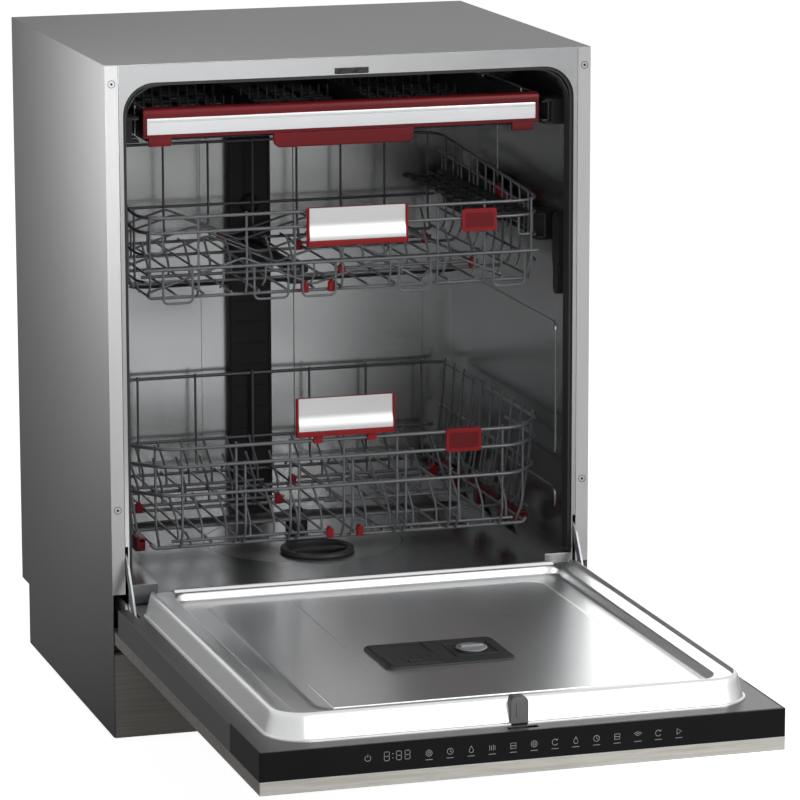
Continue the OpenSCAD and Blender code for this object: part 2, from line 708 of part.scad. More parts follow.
module upper_walls() color(graphite) home() {
  y0 = rack_front;
  y1 = rack_front + up_d;
  gap = 0.3;
  low = up_floor + 8;
  wire = 4;
  upright = 3;
  // Front
  for (z = [up_rim - 62, up_rim - 19, up_rim])
    rod([-up_half + 4, y0, z], [up_half - 4, y0, z], wire);
  for (i = [-4:4]) {
    x = i * (up_half - 12) / 4;
    bent_wire([[x, y0 + 2.8, up_rim + 2], [x, y0 + 2.8, up_floor + 14], [x, up_y0 - 1.8, up_floor - 2]], upright);
  }
  // Loops under the front
  for (f = front_loops)
    bent_wire([[f[0], y0 + 3, up_rim - 60.5], [f[0], y0 + 3, up_floor - 8.5], [f[1], y0 + 3, up_floor - 8.5], [f[1], y0 + 3, up_rim - 60.5]], upright);
  // Back
  for (z = [up_floor + 40, up_rim + up_rim_rise])
    rod([-up_half + 4, y1, z], [up_half - 4, y1, z], wire);
  for (i = [-4:4]) {
    x = i * (up_half - 14) / 4;
    bent_wire([[x, y1 - 2.8, up_rim + up_rim_rise + 2], [x, y1 - 2.8, up_floor + 14], [x, up_y1 + 1.8, up_floor - 2]], upright);
  }
  // Sides
  for (s = [-1, 1]) {
    for (f = side_levels) {
      z0 = low + f * (up_rim - low);
      z1 = low + f * (up_rim + up_rim_rise - low);
      rod([s * up_half, y0 + 2 + gap, z0], [s * up_half, y1 - 2 - gap, z1], f > 0.7 ? wire : 3.2);
    }
    rod([s * up_half, y0 + 2 + gap, up_rim], [s * up_half, y1 - 2 - gap, up_rim + up_rim_rise], wire);
    for (i = [1:11]) {
      y = y0 + 8 + i * (up_d - 20) / 12;
      bent_wire([[s * (up_half - 2.6), y, up_rim_z(y) + 1.5], [s * (up_half - 2.6), y, low + 6], [s * (up_half - 8.6), y, up_floor + 0.5]], upright);
    }
  }
}

// A pull plate: flat face with a soft groove along its lower part.
module handle_plate(w, h, y, z, x) translate([x - w / 2, y, z]) difference() {
  cube([w, 1.5, h]);
  translate([-1, -2.2, h * 0.3]) rotate([0, 90, 0]) cylinder(h = w + 2, r = 3);
}

module handle_trim(w, h, y, z, x) translate([x - w / 2, y, z]) difference() {
  translate([-3, 0, -4]) cube([w + 6, handle_t, h + 5]);
  translate([-0.3, -1, -0.3]) cube([w + 0.6, 2.8, h + 8]);
  translate([4, 3, 3]) cube([w - 8, 8, h - 8]);
}

// A flat label carrier clipped over two front wires.
module label_plate(x, y, z, w, h) translate([x, y, z]) cube([w, 2.2, h]);

up_handle = [120, 44, rack_front - handle_t - 2.3, up_rim - 35, 16];
low_handle = [118, 44, rack_front - handle_t - 2.5, low_rim + 8, 0];

module upper_handle_plate() color(bright) home()
  handle_plate(up_handle[0], up_handle[1], up_handle[2] + 0.1, up_handle[3], up_handle[4]);

module upper_handle_trim() color(red) home() {
  handle_trim(up_handle[0], up_handle[1], up_handle[2], up_handle[3], up_handle[4]);
  label_plate(up_half - 102, rack_front - 4.6, up_rim - 34, 44, 33);
}

// A forked lever that turns on a round boss outside the basket's side wires.
module adjust_lever() translate([up_half + 2.6, lever_y, up_rim - 14]) rotate([90, 0, 90]) {
  linear_extrude(3)
    polygon([[-62, -30], [-68, -24], [-64, -17], [-18, 2], [-8, 8], [4, 9], [12, 3], [39, -52], [36, -61], [26, -61],
      [2, -14], [-6, -10], [-14, -11]]);
  translate([0, 0, -0.3]) cylinder(h = 4, r = 6);
}

module adjust_lever_right() color(red) home() adjust_lever();
module adjust_lever_left() color(red) home() mirror([1, 0, 0]) adjust_lever();

shelf_w = 46;
shelf_z = up_rim - 22;
shelf_x = up_half - 9.5;

module cup_shelf() color(dark) home() {
  y0 = rack_front + 30;
  y1 = rack_front + up_d - 40;
  x0 = shelf_x - shelf_w;
  for (x = [x0, x0 + 14, x0 + 28, shelf_x - 4]) block([x, y0, shelf_z], [x + 4, y1, shelf_z + 4]);
  for (y = [y0:35:y1 - 3]) block([x0, y, shelf_z + 0.5], [shelf_x, y + 3, shelf_z + 3.5]);
  // Comb for stems along the inner edge
  for (y = [y0 + 8:35:y1 - 20]) block([x0 - 9, y, shelf_z], [x0 + 1, y + 18, shelf_z + 4]);
  translate([shelf_x + 2, y0, shelf_z + 2]) rotate([-90, 0, 0]) cylinder(h = y1 - y0, r = 2.6);
}

upper_tine_y = rack_front + 120;
lower_tine_y = rack_front + 175;
lever_y = rack_front + 176;

module upper_tines() color(graphite) home()
  tine_row(-up_half + 38, floor((up_half - 68) / 26) + 1, 26, upper_tine_y, up_floor + 4, 44, 8, true);

// ---- Lower basket ----

low_tines = floor((low_base_half - 58) / 30) + 1;

module lower_floor() color(graphite) home() {
  wire_grid(low_base_half, low_base_half - 4, low_y0, low_y1, 36, low_floor + 3, -3, 3.2, 4.4);
  for (k = [0, 2, 3]) tine_row(-low_base_half + 34, low_tines, 30, cross_y(k, low_y0, low_y1), low_floor + 7, tine_h - 6, 12);
  for (k = [0, 3]) tine_row(32, low_tines, 30, cross_y(k, low_y0, low_y1), low_floor + 7, tine_h - 6, 12);
}

module lower_walls() color(graphite) home() {
  y0 = rack_front;
  y1 = rack_front + low_d;
  z_levels = [low_rim - 57, low_rim - 22, low_rim];
  front_half = low_half - corner_cut + 2;
  gap = 0.3;
  // Front with its cut corners
  for (z = z_levels)
    bent_wire([[-low_half, y0 + corner_cut, z], [-front_half, y0, z], [front_half, y0, z], [low_half, y0 + corner_cut, z]], 4.4);
  for (i = [-3:3]) {
    x = i * (front_half - 18) / 3;
    bent_wire([[x, y0 + 2.8, low_rim + 2], [x, y0 + 2.8, low_floor + 18], [x, low_y0 - 1.5, low_floor + 1]], 3.2);
  }
  // Sides
  for (s = [-1, 1]) {
    rod([s * low_half, y0 + corner_cut + 2 + gap, low_rim], [s * low_half, y1 - 3, low_rim], 4.4);
    rod([s * (low_half - 4), y0 + corner_cut + 2 + gap, low_rim - 57], [s * (low_half - 4), y1 - 3, low_rim - 57], 3.6);
    rod([s * (low_half - 12), y0 + corner_cut + 2 + gap, low_floor + 14], [s * (low_half - 12), y1 - 3, low_floor + 14], 3.6);
    for (i = [0:9]) {
      y = y0 + corner_cut + 14 + i * (low_d - corner_cut - 30) / 9;
      bent_wire([[s * (low_half - 2), y, low_rim + 5], [s * (low_half - 4), y, low_rim - 40], [s * (low_half - 15.6), y, low_floor + 6.6]], 3.2);
    }
  }
  // Back
  for (z = [low_floor + 40, low_rim])
    rod([-low_half + 6, y1, z], [low_half - 6, y1, z], 4.4);
  for (i = [-3:3]) {
    x = i * (low_half - 30) / 3;
    bent_wire([[x, y1 - 2.8, low_rim + 2], [x, y1 - 2.8, low_floor + 16], [x, low_y1 + 1.5, low_floor + 1]], 3.2);
  }
}

module lower_handle_plate() color(bright) home()
  handle_plate(low_handle[0], low_handle[1], low_handle[2] + 0.1, low_handle[3], low_handle[4]);

module lower_handle_trim() color(red) home() {
  handle_trim(low_handle[0], low_handle[1], low_handle[2], low_handle[3], low_handle[4]);
  // Foot that clips over the rim wire
  block([-40, rack_front - 4.6, low_rim - 24], [40, rack_front - 2.5, low_rim + 10]);
  label_plate(low_half - 132, rack_front - 4.8, low_rim - 25, 45, 29);
}

module lower_tines() color(graphite) home()
  tine_row(32, low_tines, 30, lower_tine_y, low_floor + 7, tine_h - 6, 12, true);

module wheel_carriers() color(red) home() both_sides() {
  x0 = low_base_half + 0.2;
  x1 = wheel_x - wheel_w / 2 - 0.4;
  y0 = rack_front + 46;
  y1 = rack_front + low_d - 4;
  block([x0, y0, low_floor + 1], [x1 - 1.5, y1, low_floor + 6]);
  for (i = [0:wheel_count - 1]) translate([0, wheel_first + i * wheel_pitch, 0]) {
    block([x0, -9, wheel_z - 8], [x1, 9, low_floor + 6]);
    translate([x1 - 1, 0, wheel_z]) rotate([0, 90, 0]) cylinder(h = wheel_w + 2.2, r = axle_r);
    translate([x1 + wheel_w + 0.8, 0, wheel_z]) rotate([0, 90, 0]) cylinder(h = 1.2, r = axle_r + 1.5);
  }
}

module basket_wheel(side, i) color(graphite) home()
  translate([side * wheel_x - wheel_w / 2, wheel_first + (i - 1) * wheel_pitch, wheel_z]) rotate([0, 90, 0]) difference() {
    cylinder(h = wheel_w, r = wheel_r);
    translate([0, 0, -1]) cylinder(h = wheel_w + 2, r = axle_r + fit_gap);
    for (z = [-1, wheel_w - 1.5]) translate([0, 0, z]) difference() {
      cylinder(h = 2.5, r = wheel_r - 3);
      cylinder(h = 3, r = axle_r + 2.5);
    }
  }

module wheel_left_1() basket_wheel(-1, 1);
module wheel_left_2() basket_wheel(-1, 2);
module wheel_left_3() basket_wheel(-1, 3);
module wheel_left_4() basket_wheel(-1, 4);
module wheel_right_1() basket_wheel(1, 1);
module wheel_right_2() basket_wheel(1, 2);
module wheel_right_3() basket_wheel(1, 3);
module wheel_right_4() basket_wheel(1, 4);

base_tray();
side_panels();
top_panel();
back_panel();
tub();
door_seal();
plinth_panel();
hinge_brackets();
strike_plate();
levelling_feet();
panel_screws();
sump();
filter_plate();
pump_set();
hose_connectors();
feed_duct();
rail_brackets();
filter_cylinder();
ceiling_spray_arm();
lower_spray_arm();
tray_rails();
basket_rails();
door_panel();
door_liner();
decor_panel();
control_fascia();
control_board();
dispenser_housing();
dispenser_lid();
rinse_aid_cap();
door_latch();
hinge_arms();
tray_frame();
tray_bar();
tray_strip();
basket_carriers();
upper_floor();
upper_walls();
upper_handle_plate();
upper_handle_trim();
adjust_lever_left();
adjust_lever_right();
cup_shelf();
upper_tines();
middle_feed_tube();
middle_spray_arm();
lower_floor();
lower_walls();
lower_handle_plate();
lower_handle_trim();
lower_tines();
wheel_carriers();
wheel_left_1();
wheel_left_2();
wheel_left_3();
wheel_left_4();
wheel_right_1();
wheel_right_2();
wheel_right_3();
wheel_right_4();
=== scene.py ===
from math import cos, pi, radians, sin, tau

import bmesh
import bpy
from bmesh import ops
from bmesh.types import BMEdge, BMVert
from mathutils import Matrix, Vector


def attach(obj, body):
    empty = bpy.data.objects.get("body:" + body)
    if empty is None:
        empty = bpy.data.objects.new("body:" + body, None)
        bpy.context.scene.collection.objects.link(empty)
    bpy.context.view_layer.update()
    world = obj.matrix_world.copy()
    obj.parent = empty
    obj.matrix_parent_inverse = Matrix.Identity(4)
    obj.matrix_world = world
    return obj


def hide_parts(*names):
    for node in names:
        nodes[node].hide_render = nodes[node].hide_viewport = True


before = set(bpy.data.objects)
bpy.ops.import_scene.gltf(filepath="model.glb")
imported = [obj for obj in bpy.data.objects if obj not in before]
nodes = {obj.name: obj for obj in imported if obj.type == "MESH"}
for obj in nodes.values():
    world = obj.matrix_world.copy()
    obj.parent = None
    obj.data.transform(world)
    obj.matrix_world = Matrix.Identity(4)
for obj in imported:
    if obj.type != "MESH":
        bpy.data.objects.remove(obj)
bpy.context.view_layer.update()
mm = 0.001
frontPlane = 71.5  # the cabinet's front plane in the shared frame


def at(x, y, z):
    return Vector((x, y + frontPlane, z)) * mm


class Signal:  # one output socket, so that shader maths reads as sums
    def __init__(self, tree, socket):
        self.tree = tree
        self.socket = socket

    def __add__(self, other):
        return self.tree.math("ADD", self, other)

    def __mul__(self, other):
        return self.tree.math("MULTIPLY", self, other)

    __radd__ = __add__
    __rmul__ = __mul__


class Tree:  # the nodes of one material or world
    def __init__(self, owner):
        owner.use_nodes = True
        self.tree = owner.node_tree
        self.tree.nodes.clear()

    def make(self, kind, settings=None, inputs=None):
        node = self.tree.nodes.new("ShaderNode" + kind)
        for name, value in (settings or {}).items():
            if name == "stops":
                ramp = node.color_ramp.elements
                while len(ramp) < len(value):
                    ramp.new(0.5)
                for element, (place, shade) in zip(ramp, value):
                    element.position = place
                    element.color = (*shade, 1) if isinstance(shade, tuple) else (shade, shade, shade, 1)
            else:
                setattr(node, name, value)
        for name, value in (inputs or {}).items():
            self.feed(node.inputs[name.replace("_", " ") if isinstance(name, str) else name], value)
        return node

    def feed(self, socket, value):
        if isinstance(value, Signal):
            self.tree.links.new(value.socket, socket)
        elif socket.type == "RGBA" and len(value) == 3:
            socket.default_value = (*value, 1)
        else:
            socket.default_value = value

    def signal(self, kind, settings=None, inputs=None, output=0):
        return Signal(self, self.make(kind, settings, inputs).outputs[output])

    def math(self, operation, a, b):
        return self.signal("Math", {"operation": operation}, {0: a, 1: b})


class Look(Tree):  # one procedural material round a principled shader
    def __init__(self, name, **values):
        self.material = bpy.data.materials.new(name)
        super().__init__(self.material)
        self.shader = self.make("BsdfPrincipled", {}, values)
        self.out = self.make("OutputMaterial", {}, {0: Signal(self, self.shader.outputs[0])})

    def place(self, scale=(1, 1, 1), turn=(0, 0, 0)):
        spot = self.signal("TexCoord", output="Object")
        return self.signal("Mapping", {}, {"Vector": spot, "Scale": scale, "Rotation": turn})

    def grain(self, scale, stretch=(1, 1, 1), detail=3.0, rough=0.5):
        return self.signal("TexNoise", {}, {"Vector": self.place(stretch), "Scale": scale, "Detail": detail,
                                            "Roughness": rough})

    def ramp(self, factor, *stops):
        return self.signal("ValToRGB", {"stops": stops}, {"Fac": factor})

    def level(self, factor, low, high):  # a 0 to 1 signal spread over low to high
        return self.signal("MapRange", {}, {"Value": factor, "To Min": low, "To Max": high})

    def blend(self, factor, one, two):
        node = self.make("Mix", {"data_type": "RGBA"}, {0: factor, 6: one, 7: two})
        return Signal(self, node.outputs[2])

    def set(self, **values):
        for name, value in values.items():
            self.feed(self.shader.inputs[name.replace("_", " ")], value)
        return self

    def bump(self, height, depth, strength):
        relief = self.signal("Bump", {}, {"Height": height, "Distance": depth * mm, "Strength": strength})
        return self.set(Normal=relief)


def tinted(colour, share):
    return tuple(min(1.0, c * share) for c in colour)


def brushed(name, colour, metal, rough, stretch, spread=0.05, scale=900, depth=0.35, shine=0.5):
    look = Look(name, Metallic=metal, Specular_IOR_Level=shine)
    lines = look.grain(scale, stretch, 4.0, 0.6)
    cloud = look.grain(9.0, detail=2.0)
    mix = lines * 0.55 + cloud * 0.45
    look.set(Base_Color=look.blend(mix, tinted(colour, 1 - spread), tinted(colour, 1 + spread)),
             Roughness=look.level(lines * 0.7 + cloud * 0.3, rough - 0.07, rough + 0.07))
    return look.bump(lines, 0.012, depth)


def moulded(name, colour, rough, grainSize=2600, depth=0.02, coat=0.0, metal=0.0, shine=0.3):
    look = Look(name, Metallic=metal, Coat_Weight=coat, Coat_Roughness=0.08, Specular_IOR_Level=shine)
    fine = look.grain(grainSize, detail=2.0)
    cloud = look.grain(14.0)
    look.set(Base_Color=look.blend(cloud, tinted(colour, 0.82), tinted(colour, 1.18)),
             Roughness=look.level(fine * 0.5 + cloud * 0.5, rough - 0.06, rough + 0.08))
    return look.bump(fine, depth, 0.4)


def wood(name, pale, dark):
    look = Look(name)
    rings = look.grain(6.0, (0.6, 6, 22), 6.0, 0.62)
    pores = look.grain(160.0, (0.12, 1, 3.2), 3.0, 0.7)
    board = look.grain(2.2, (0.5, 1, 3), 2.0)
    figure = look.ramp(rings, (0.30, dark), (0.48, pale), (0.58, dark), (0.72, pale))
    shade = look.blend(look.ramp(pores, (0.38, 1.0), (0.52, 0.0)) * 0.3, figure, tinted(dark, 0.6))
    look.set(Base_Color=look.blend(board * 0.4, shade, pale), Roughness=look.level(pores, 0.45, 0.62))
    return look.bump(pores, 0.08, 0.5)


def circuitLook():
    look = moulded("circuit board", (0.02, 0.14, 0.06), 0.4, grainSize=900, depth=0.01, coat=0.4)
    spot = look.place(turn=(pi / 2, 0, 0))
    tracks = look.signal("TexBrick", {}, {"Vector": spot, "Scale": 120.0, "Mortar Size": 0.03})
    return look.set(Base_Color=look.blend(tracks, (0.02, 0.16, 0.07), (0.01, 0.09, 0.04)))


def printLook():
    look = Look("lit print", Base_Color=(0.3, 0.3, 0.3), Roughness=0.5, Emission_Strength=1.0)
    glow = look.grain(60.0)
    return look.set(Emission_Color=look.blend(glow, (0.11, 0.115, 0.12), (0.18, 0.185, 0.19)))


def filterLook():  # etched sheet with rows of tiny holes
    look = brushed("etched filter sheet", (0.50, 0.505, 0.51), 1.0, 0.3, (1, 1, 1), spread=0.10, scale=500)
    holes = look.signal("TexVoronoi", {}, {"Vector": look.place(), "Scale": 330.0, "Randomness": 0.12})
    edge = look.ramp(holes, (0.30, 0.0), (0.38, 1.0))
    return look.set(Base_Color=look.blend(edge, (0.012, 0.012, 0.013), (0.5, 0.505, 0.51)))


looks = {
    # brushed: name, colour, metal, roughness, how far the grain is stretched along x, y and z
    "satin_steel": brushed("satin steel", (0.42, 0.42, 0.423), 0.0, 0.50, (1, 1, 0.02), shine=0.02),
    "tub_steel": brushed("tub steel", (0.37, 0.374, 0.378), 1.0, 0.24, (0.03, 1, 1), scale=700, depth=0.03),
    "liner_steel": brushed("liner steel", (0.68, 0.685, 0.69), 1.0, 0.30, (0.02, 1, 1), scale=700,
                           depth=0.015),
    "door_steel": brushed("dark brushed steel", (0.085, 0.085, 0.087), 0.6, 0.42, (1, 0.04, 1), spread=0.25,
                          scale=1500, shine=0.3),
    "zinc_steel": brushed("zinc steel", (0.42, 0.43, 0.45), 0.9, 0.40, (1, 1, 1), spread=0.2, scale=120),
    "rail_steel": brushed("rail steel", (0.07, 0.071, 0.074), 0.7, 0.38, (1, 0.03, 1), spread=0.12),
    "bright_wire": brushed("bright wire", (0.62, 0.62, 0.63), 1.0, 0.24, (1, 1, 1), spread=0.08, scale=600),
    "steel_plate": brushed("brushed plate", (0.39, 0.39, 0.39), 0.97, 0.32, (0.008, 1, 1), spread=0.06,
                           scale=1400, depth=0.08),
    "aluminium": brushed("brushed strip", (0.46, 0.464, 0.47), 0.85, 0.34, (0.008, 1, 1), spread=0.08,
                         scale=1400),
    # moulded: name, colour, roughness
    "coated_wire": moulded("coated wire", (0.070, 0.072, 0.078), 0.34, grainSize=3200, depth=0.015,
                           coat=0.25),
    "graphite_plastic": moulded("graphite plastic", (0.028, 0.0285, 0.030), 0.46, shine=0.2),
    "black_plastic": moulded("black plastic", (0.011, 0.011, 0.012), 0.44, shine=0.12),
    "wheel_plastic": moulded("wheel plastic", (0.055, 0.057, 0.062), 0.40),
    "pale_plastic": moulded("pale plastic", (0.32, 0.33, 0.34), 0.45),
    "latch_plastic": moulded("latch plastic", (0.13, 0.131, 0.134), 0.45),
    "black_gloss": moulded("black gloss", (0.013, 0.013, 0.014), 0.16, grainSize=400, depth=0.002,
                           shine=0.03),
    "red_plastic": moulded("red plastic", (0.16, 0.005, 0.007), 0.38, depth=0.01, shine=0.15),
    "burgundy": moulded("burgundy", (0.085, 0.005, 0.007), 0.34, depth=0.006, metal=0.2, shine=0.15),
    "seal_rubber": moulded("seal rubber", (0.013, 0.013, 0.014), 0.62, grainSize=1400, depth=0.03),
    "decor_wood": wood("decor wood", (0.56, 0.54, 0.50), (0.42, 0.40, 0.365)),
    "circuit_board": circuitLook(),
    "lit_print": printLook(),
    "filter_mesh": filterLook(),
}
print("materials:", len(looks))

sharpEdge = 32  # degrees, above which an edge stays sharp
rightward, forward, backward, upward = (1, 0, 0), (0, -1, 0), (0, 1, 0), (0, 0, 1)
sideName = {-1: "left", 1: "right"}


def inScene(name, data):
    obj = bpy.data.objects.new(name, data)
    bpy.context.scene.collection.objects.link(obj)
    return obj


def meshObject(name, bm):
    mesh = bpy.data.meshes.new(name)
    bm.to_mesh(mesh)
    bm.free()
    return inScene(name, mesh)


def finished(obj, look, body, cadNodes):
    obj.data.materials.append(looks[look].material)
    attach(obj, body)
    if cadNodes:
        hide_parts(*cadNodes)


def evenNormals(obj):
    even = obj.modifiers.new("even normals", "WEIGHTED_NORMAL")
    even.keep_sharp = True


def solidPiece(name, bm, look, body, *cadNodes, slot=None, sharp=sharpEdge):
    ops.remove_doubles(bm, verts=bm.verts, dist=0.00002)
    ops.recalc_face_normals(bm, faces=bm.faces)
    for face in bm.faces:
        face.smooth = True
    for edge in bm.edges:
        edge.smooth = edge.calc_face_angle(0) < radians(sharp)
    obj = meshObject(name, bm)
    evenNormals(obj)
    finished(obj, look, body, cadNodes)


def softened(points, radius, steps=4):  # a bent line with round corners
    points = [Vector(p) for p in points]
    if len(points) < 3 or radius <= 0:
        return points
    line = [points[0]]
    for before, corner, after in zip(points, points[1:], points[2:]):
        reach = min(radius, (before - corner).length * 0.48, (after - corner).length * 0.48)
        start = corner + (before - corner).normalized() * reach
        end = corner + (after - corner).normalized() * reach
        for i in range(steps + 1):
            t = i / steps
            line.append(start * (1 - t) ** 2 + corner * (2 * t * (1 - t)) + end * t * t)
    return line + [points[-1]]


def wirePiece(name, wires, look, body, *cadNodes, slot=None, sides=3):
    # each wire is its points and diameter, with the radius of its bends where it has some
    curve = bpy.data.curves.new(name, "CURVE")
    curve.dimensions = "3D"
    curve.bevel_depth = mm
    curve.bevel_resolution = sides
    curve.use_fill_caps = True
    for points, diameter, *bend in wires:
        line = softened(points, bend[0] if bend else 0)
        spline = curve.splines.new("POLY")
        spline.points.add(len(line) - 1)
        for spot, p in zip(spline.points, line):
            spot.co = (*at(*p), 1)
            spot.radius = diameter / 2
        spline.use_smooth = True
    finished(inScene(name, curve), look, body, cadNodes)


def roundEdges(bm, verts, width, steps):
    edges = list({e for v in verts for e in v.link_edges})
    return ops.bevel(bm, geom=edges, offset=width * mm, offset_type="OFFSET", affect="EDGES", segments=steps,
                     profile=0.5, material=-1, clamp_overlap=True)["verts"]


def addBlock(bm, low, high, bevel, steps=2):  # a block with all its edges rounded
    low, high = at(*low), at(*high)
    made = ops.create_cube(bm, size=1)["verts"]
    ops.scale(bm, vec=high - low, verts=made)
    ops.translate(bm, vec=(low + high) / 2, verts=made)
    return roundEdges(bm, made, bevel, steps)


def addTurned(bm, centre, axis, profile, steps=32):  # profile of (radius, height) spun round an axis
    across = Vector(axis).cross(Vector(rightward if axis[2] else upward)).normalized()
    base = at(*centre)
    chain = [bm.verts.new(base + Vector(axis) * h * mm + across * r * mm) for r, h in profile]
    edges = [bm.edges.new(pair) for pair in zip(chain, chain[1:])]
    ops.spin(bm, geom=chain + edges, cent=base, axis=axis, angle=tau, steps=steps, use_merge=True)


def arc(cx, cz, r, start, end, steps=10):
    turns = [radians(start + (end - start) * i / steps) for i in range(steps + 1)]
    return [(cx + r * cos(a), cz + r * sin(a)) for a in turns]


def roundedOutline(x0, z0, x1, z1, r, steps=5):
    corners = ((x1 - r, z0 + r, -90), (x1 - r, z1 - r, 0), (x0 + r, z1 - r, 90), (x0 + r, z0 + r, 180))
    return [spot for cx, cz, start in corners for spot in arc(cx, cz, r, start, start + 90, steps)]


def ringSpots(half, y0, y1, z, front, back, steps=11):  # places round a rectangle with round corners
    corners = ((1, y0 + front, front, -90), (1, y1 - back, back, 0),
               (-1, y1 - back, back, 90), (-1, y0 + front, front, 180))
    return [at(x, y, z) for side, cy, r, start in corners
            for x, y in arc(side * (half - r), cy, r, start, start + 90, steps)]


def addShell(bm, rings):  # a skin drawn from ring to ring, closed over the last one
    order = ops.create_circle(bm, segments=len(rings[0]), radius=1)["verts"]
    edges = list({e for v in order for e in v.link_edges})
    for i, spots in enumerate(rings):
        if i:
            made = ops.extrude_edge_only(bm, edges=edges)["geom"]
            fresh = {g for g in made if isinstance(g, BMVert)}
            order = [next(e.other_vert(v) for e in v.link_edges if e.other_vert(v) in fresh) for v in order]
            edges = [g for g in made if isinstance(g, BMEdge) and all(v in fresh for v in g.verts)]
        for v, spot in zip(order, spots):
            v.co = spot
    ops.contextual_create(bm, geom=edges)


def addPlate(bm, outline, axis, low, high, bevel=0.0, steps=2):
    # an outline of (a, b) pairs made thick along x, y or z
    def spot(a, b, c):
        return at(*{"x": (c, a, b), "y": (a, c, b), "z": (a, b, c)}[axis])

    verts = [bm.verts.new(spot(a, b, low)) for a, b in outline]
    face = bm.faces.new(verts)
    raised = ops.extrude_face_region(bm, geom=[face])["geom"]
    lifted = [g for g in raised if isinstance(g, BMVert)]
    ops.translate(bm, vec=spot(0, 0, high) - spot(0, 0, low), verts=lifted)
    if bevel:
        roundEdges(bm, verts + lifted, bevel, steps)


def onSide(bm, side):  # a piece drawn at the right goes to its side
    if side < 0:
        ops.scale(bm, vec=(-1, 1, 1), verts=bm.verts)


def spanOn(side, a, b):
    return sorted((side * a, side * b))


def dress(node, look, edge):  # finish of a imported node, with softened edges
    obj = nodes[node]
    for place in obj.material_slots:
        place.material = looks[look].material
    if edge:
        joined = obj.modifiers.new("join corners", "WELD")
        joined.merge_threshold = 0.00001
        soft = obj.modifiers.new("soft edges", "BEVEL")
        soft.width = edge * mm
        soft.segments = 2
        soft.limit_method = "ANGLE"
        soft.angle_limit = radians(sharpEdge)
        soft.use_clamp_overlap = True
        evenNormals(obj)


upperBasket = {
    "half": 250, "front": 38, "back": 458, "floor": 531, "rim": 626, "corner": 34,
    "rise": 26,  # how far the rim climbs towards the back
    "foot": 545,  # where the uprights turn in towards the floor
    "wires": (4.0, 3.2, 3.0, 2.8, 2.6),  # rims and bars, lengthwise, uprights, hooks, tips
    "grid": {"half": 239, "edge": 238, "front": 50, "back": 444, "pitch": 34, "turnUp": 5},
    "lean": 8,
    "rows": ((30, 7, 28, 149.5, 42), (30, 7, 28, 344.5, 42)),  # first x, tines, pitch, y, height
    "foldingRow": (-212, 8, 26, 158, 44),
    "ridges": [[(-238, y, 533.9), (-119, y, 571), (-34, y, 533.9), (54, y, 560), (102, y, 533.9),
                (136, y, 563), (204, y, 533.9)] for y in (56, 222, 296, 392, 438)],
    "ridgeBend": 7,
    "loops": ((-222, -186), (-110, -68), (-50, -9), (70, 110), (190, 230)),
    "ties": (-148, -96, -36, 74, 128, 166, 200),
}
lowerBasket = {
    "half": 260, "front": 38, "back": 466, "floor": 225, "rim": 346,
    "cut": 42,  # how far the front corners are cut off
    "wires": (4.4, 3.2, 3.2, 3.6, 2.8),  # rims and bars, lengthwise, uprights, side bars, tips
    "grid": {"half": 238, "edge": 234, "front": 54, "back": 454, "pitch": 36, "turnUp": 6},
    "lean": 12,
    "rows": ((-204, 7, 30, 56, 60), (-204, 7, 30, 254, 60), (-204, 7, 30, 353, 60), (32, 7, 30, 56, 60),
             (32, 7, 30, 353, 60)),
    "foldingRow": (32, 7, 30, 213, 60),
    "ridges": [[(x, 54, 225), (x, 70, 233), (x, 438, 233), (x, 454, 225)] for x in (-189, -45, 41, 99, 191)],
    "ridgeBend": 9,
    "levels": ((289, 256, 463), (324, 259, 200), (346, 260, 466)),  # height, half width, y of the ends
}


def tineRow(b, x0, count, pitch, y, tall, overhang=8):
    z = b["floor"] + 4
    row = [([(x0 - overhang, y, z), (x0 + (count - 1) * pitch + overhang, y, z)], 4.0)]
    for i in range(count):
        x = x0 + i * pitch
        row.append(([(x, y, z - 0.8), (x, y, z + tall * 0.36), (x - b["lean"], y, z + tall)], 3.0, 14))
    return row


def floorWires(b):
    g = b["grid"]
    half, y0, y1, z = g["half"], g["front"], g["back"], b["floor"]
    wire, lengthwise = b["wires"][:2]
    low = z - 3
    up = low + g["turnUp"]
    wires = []
    x = -g["edge"]
    while x <= g["edge"]:
        wires.append(([(x, y0, z), (x, y1, z)], lengthwise))
        x += g["pitch"]
    for i in range(5):
        y = y0 + 2 + i * (y1 - y0 - 4) / 4
        wires.append(([(-half, y, up), (-half + 4, y, low), (half - 4, y, low), (half, y, up)], wire, 6))
    for row in b["rows"]:
        wires += tineRow(b, *row)
    return wires + [(ridge, 3.0, b["ridgeBend"]) for ridge in b["ridges"]]  # they keep crockery apart


def bothSides(points, *rest):  # a wire drawn at the right, with its twin at the left
    return [([(side * x, y, z) for x, y, z in points], *rest) for side in (-1, 1)]


def upperRim(b, y, share=1.0):  # height of the rim, or of a share of the wall under it
    low = b["floor"] + 8
    return low + share * (b["rim"] + b["rise"] * (y - b["front"]) / (b["back"] - b["front"]) - low)


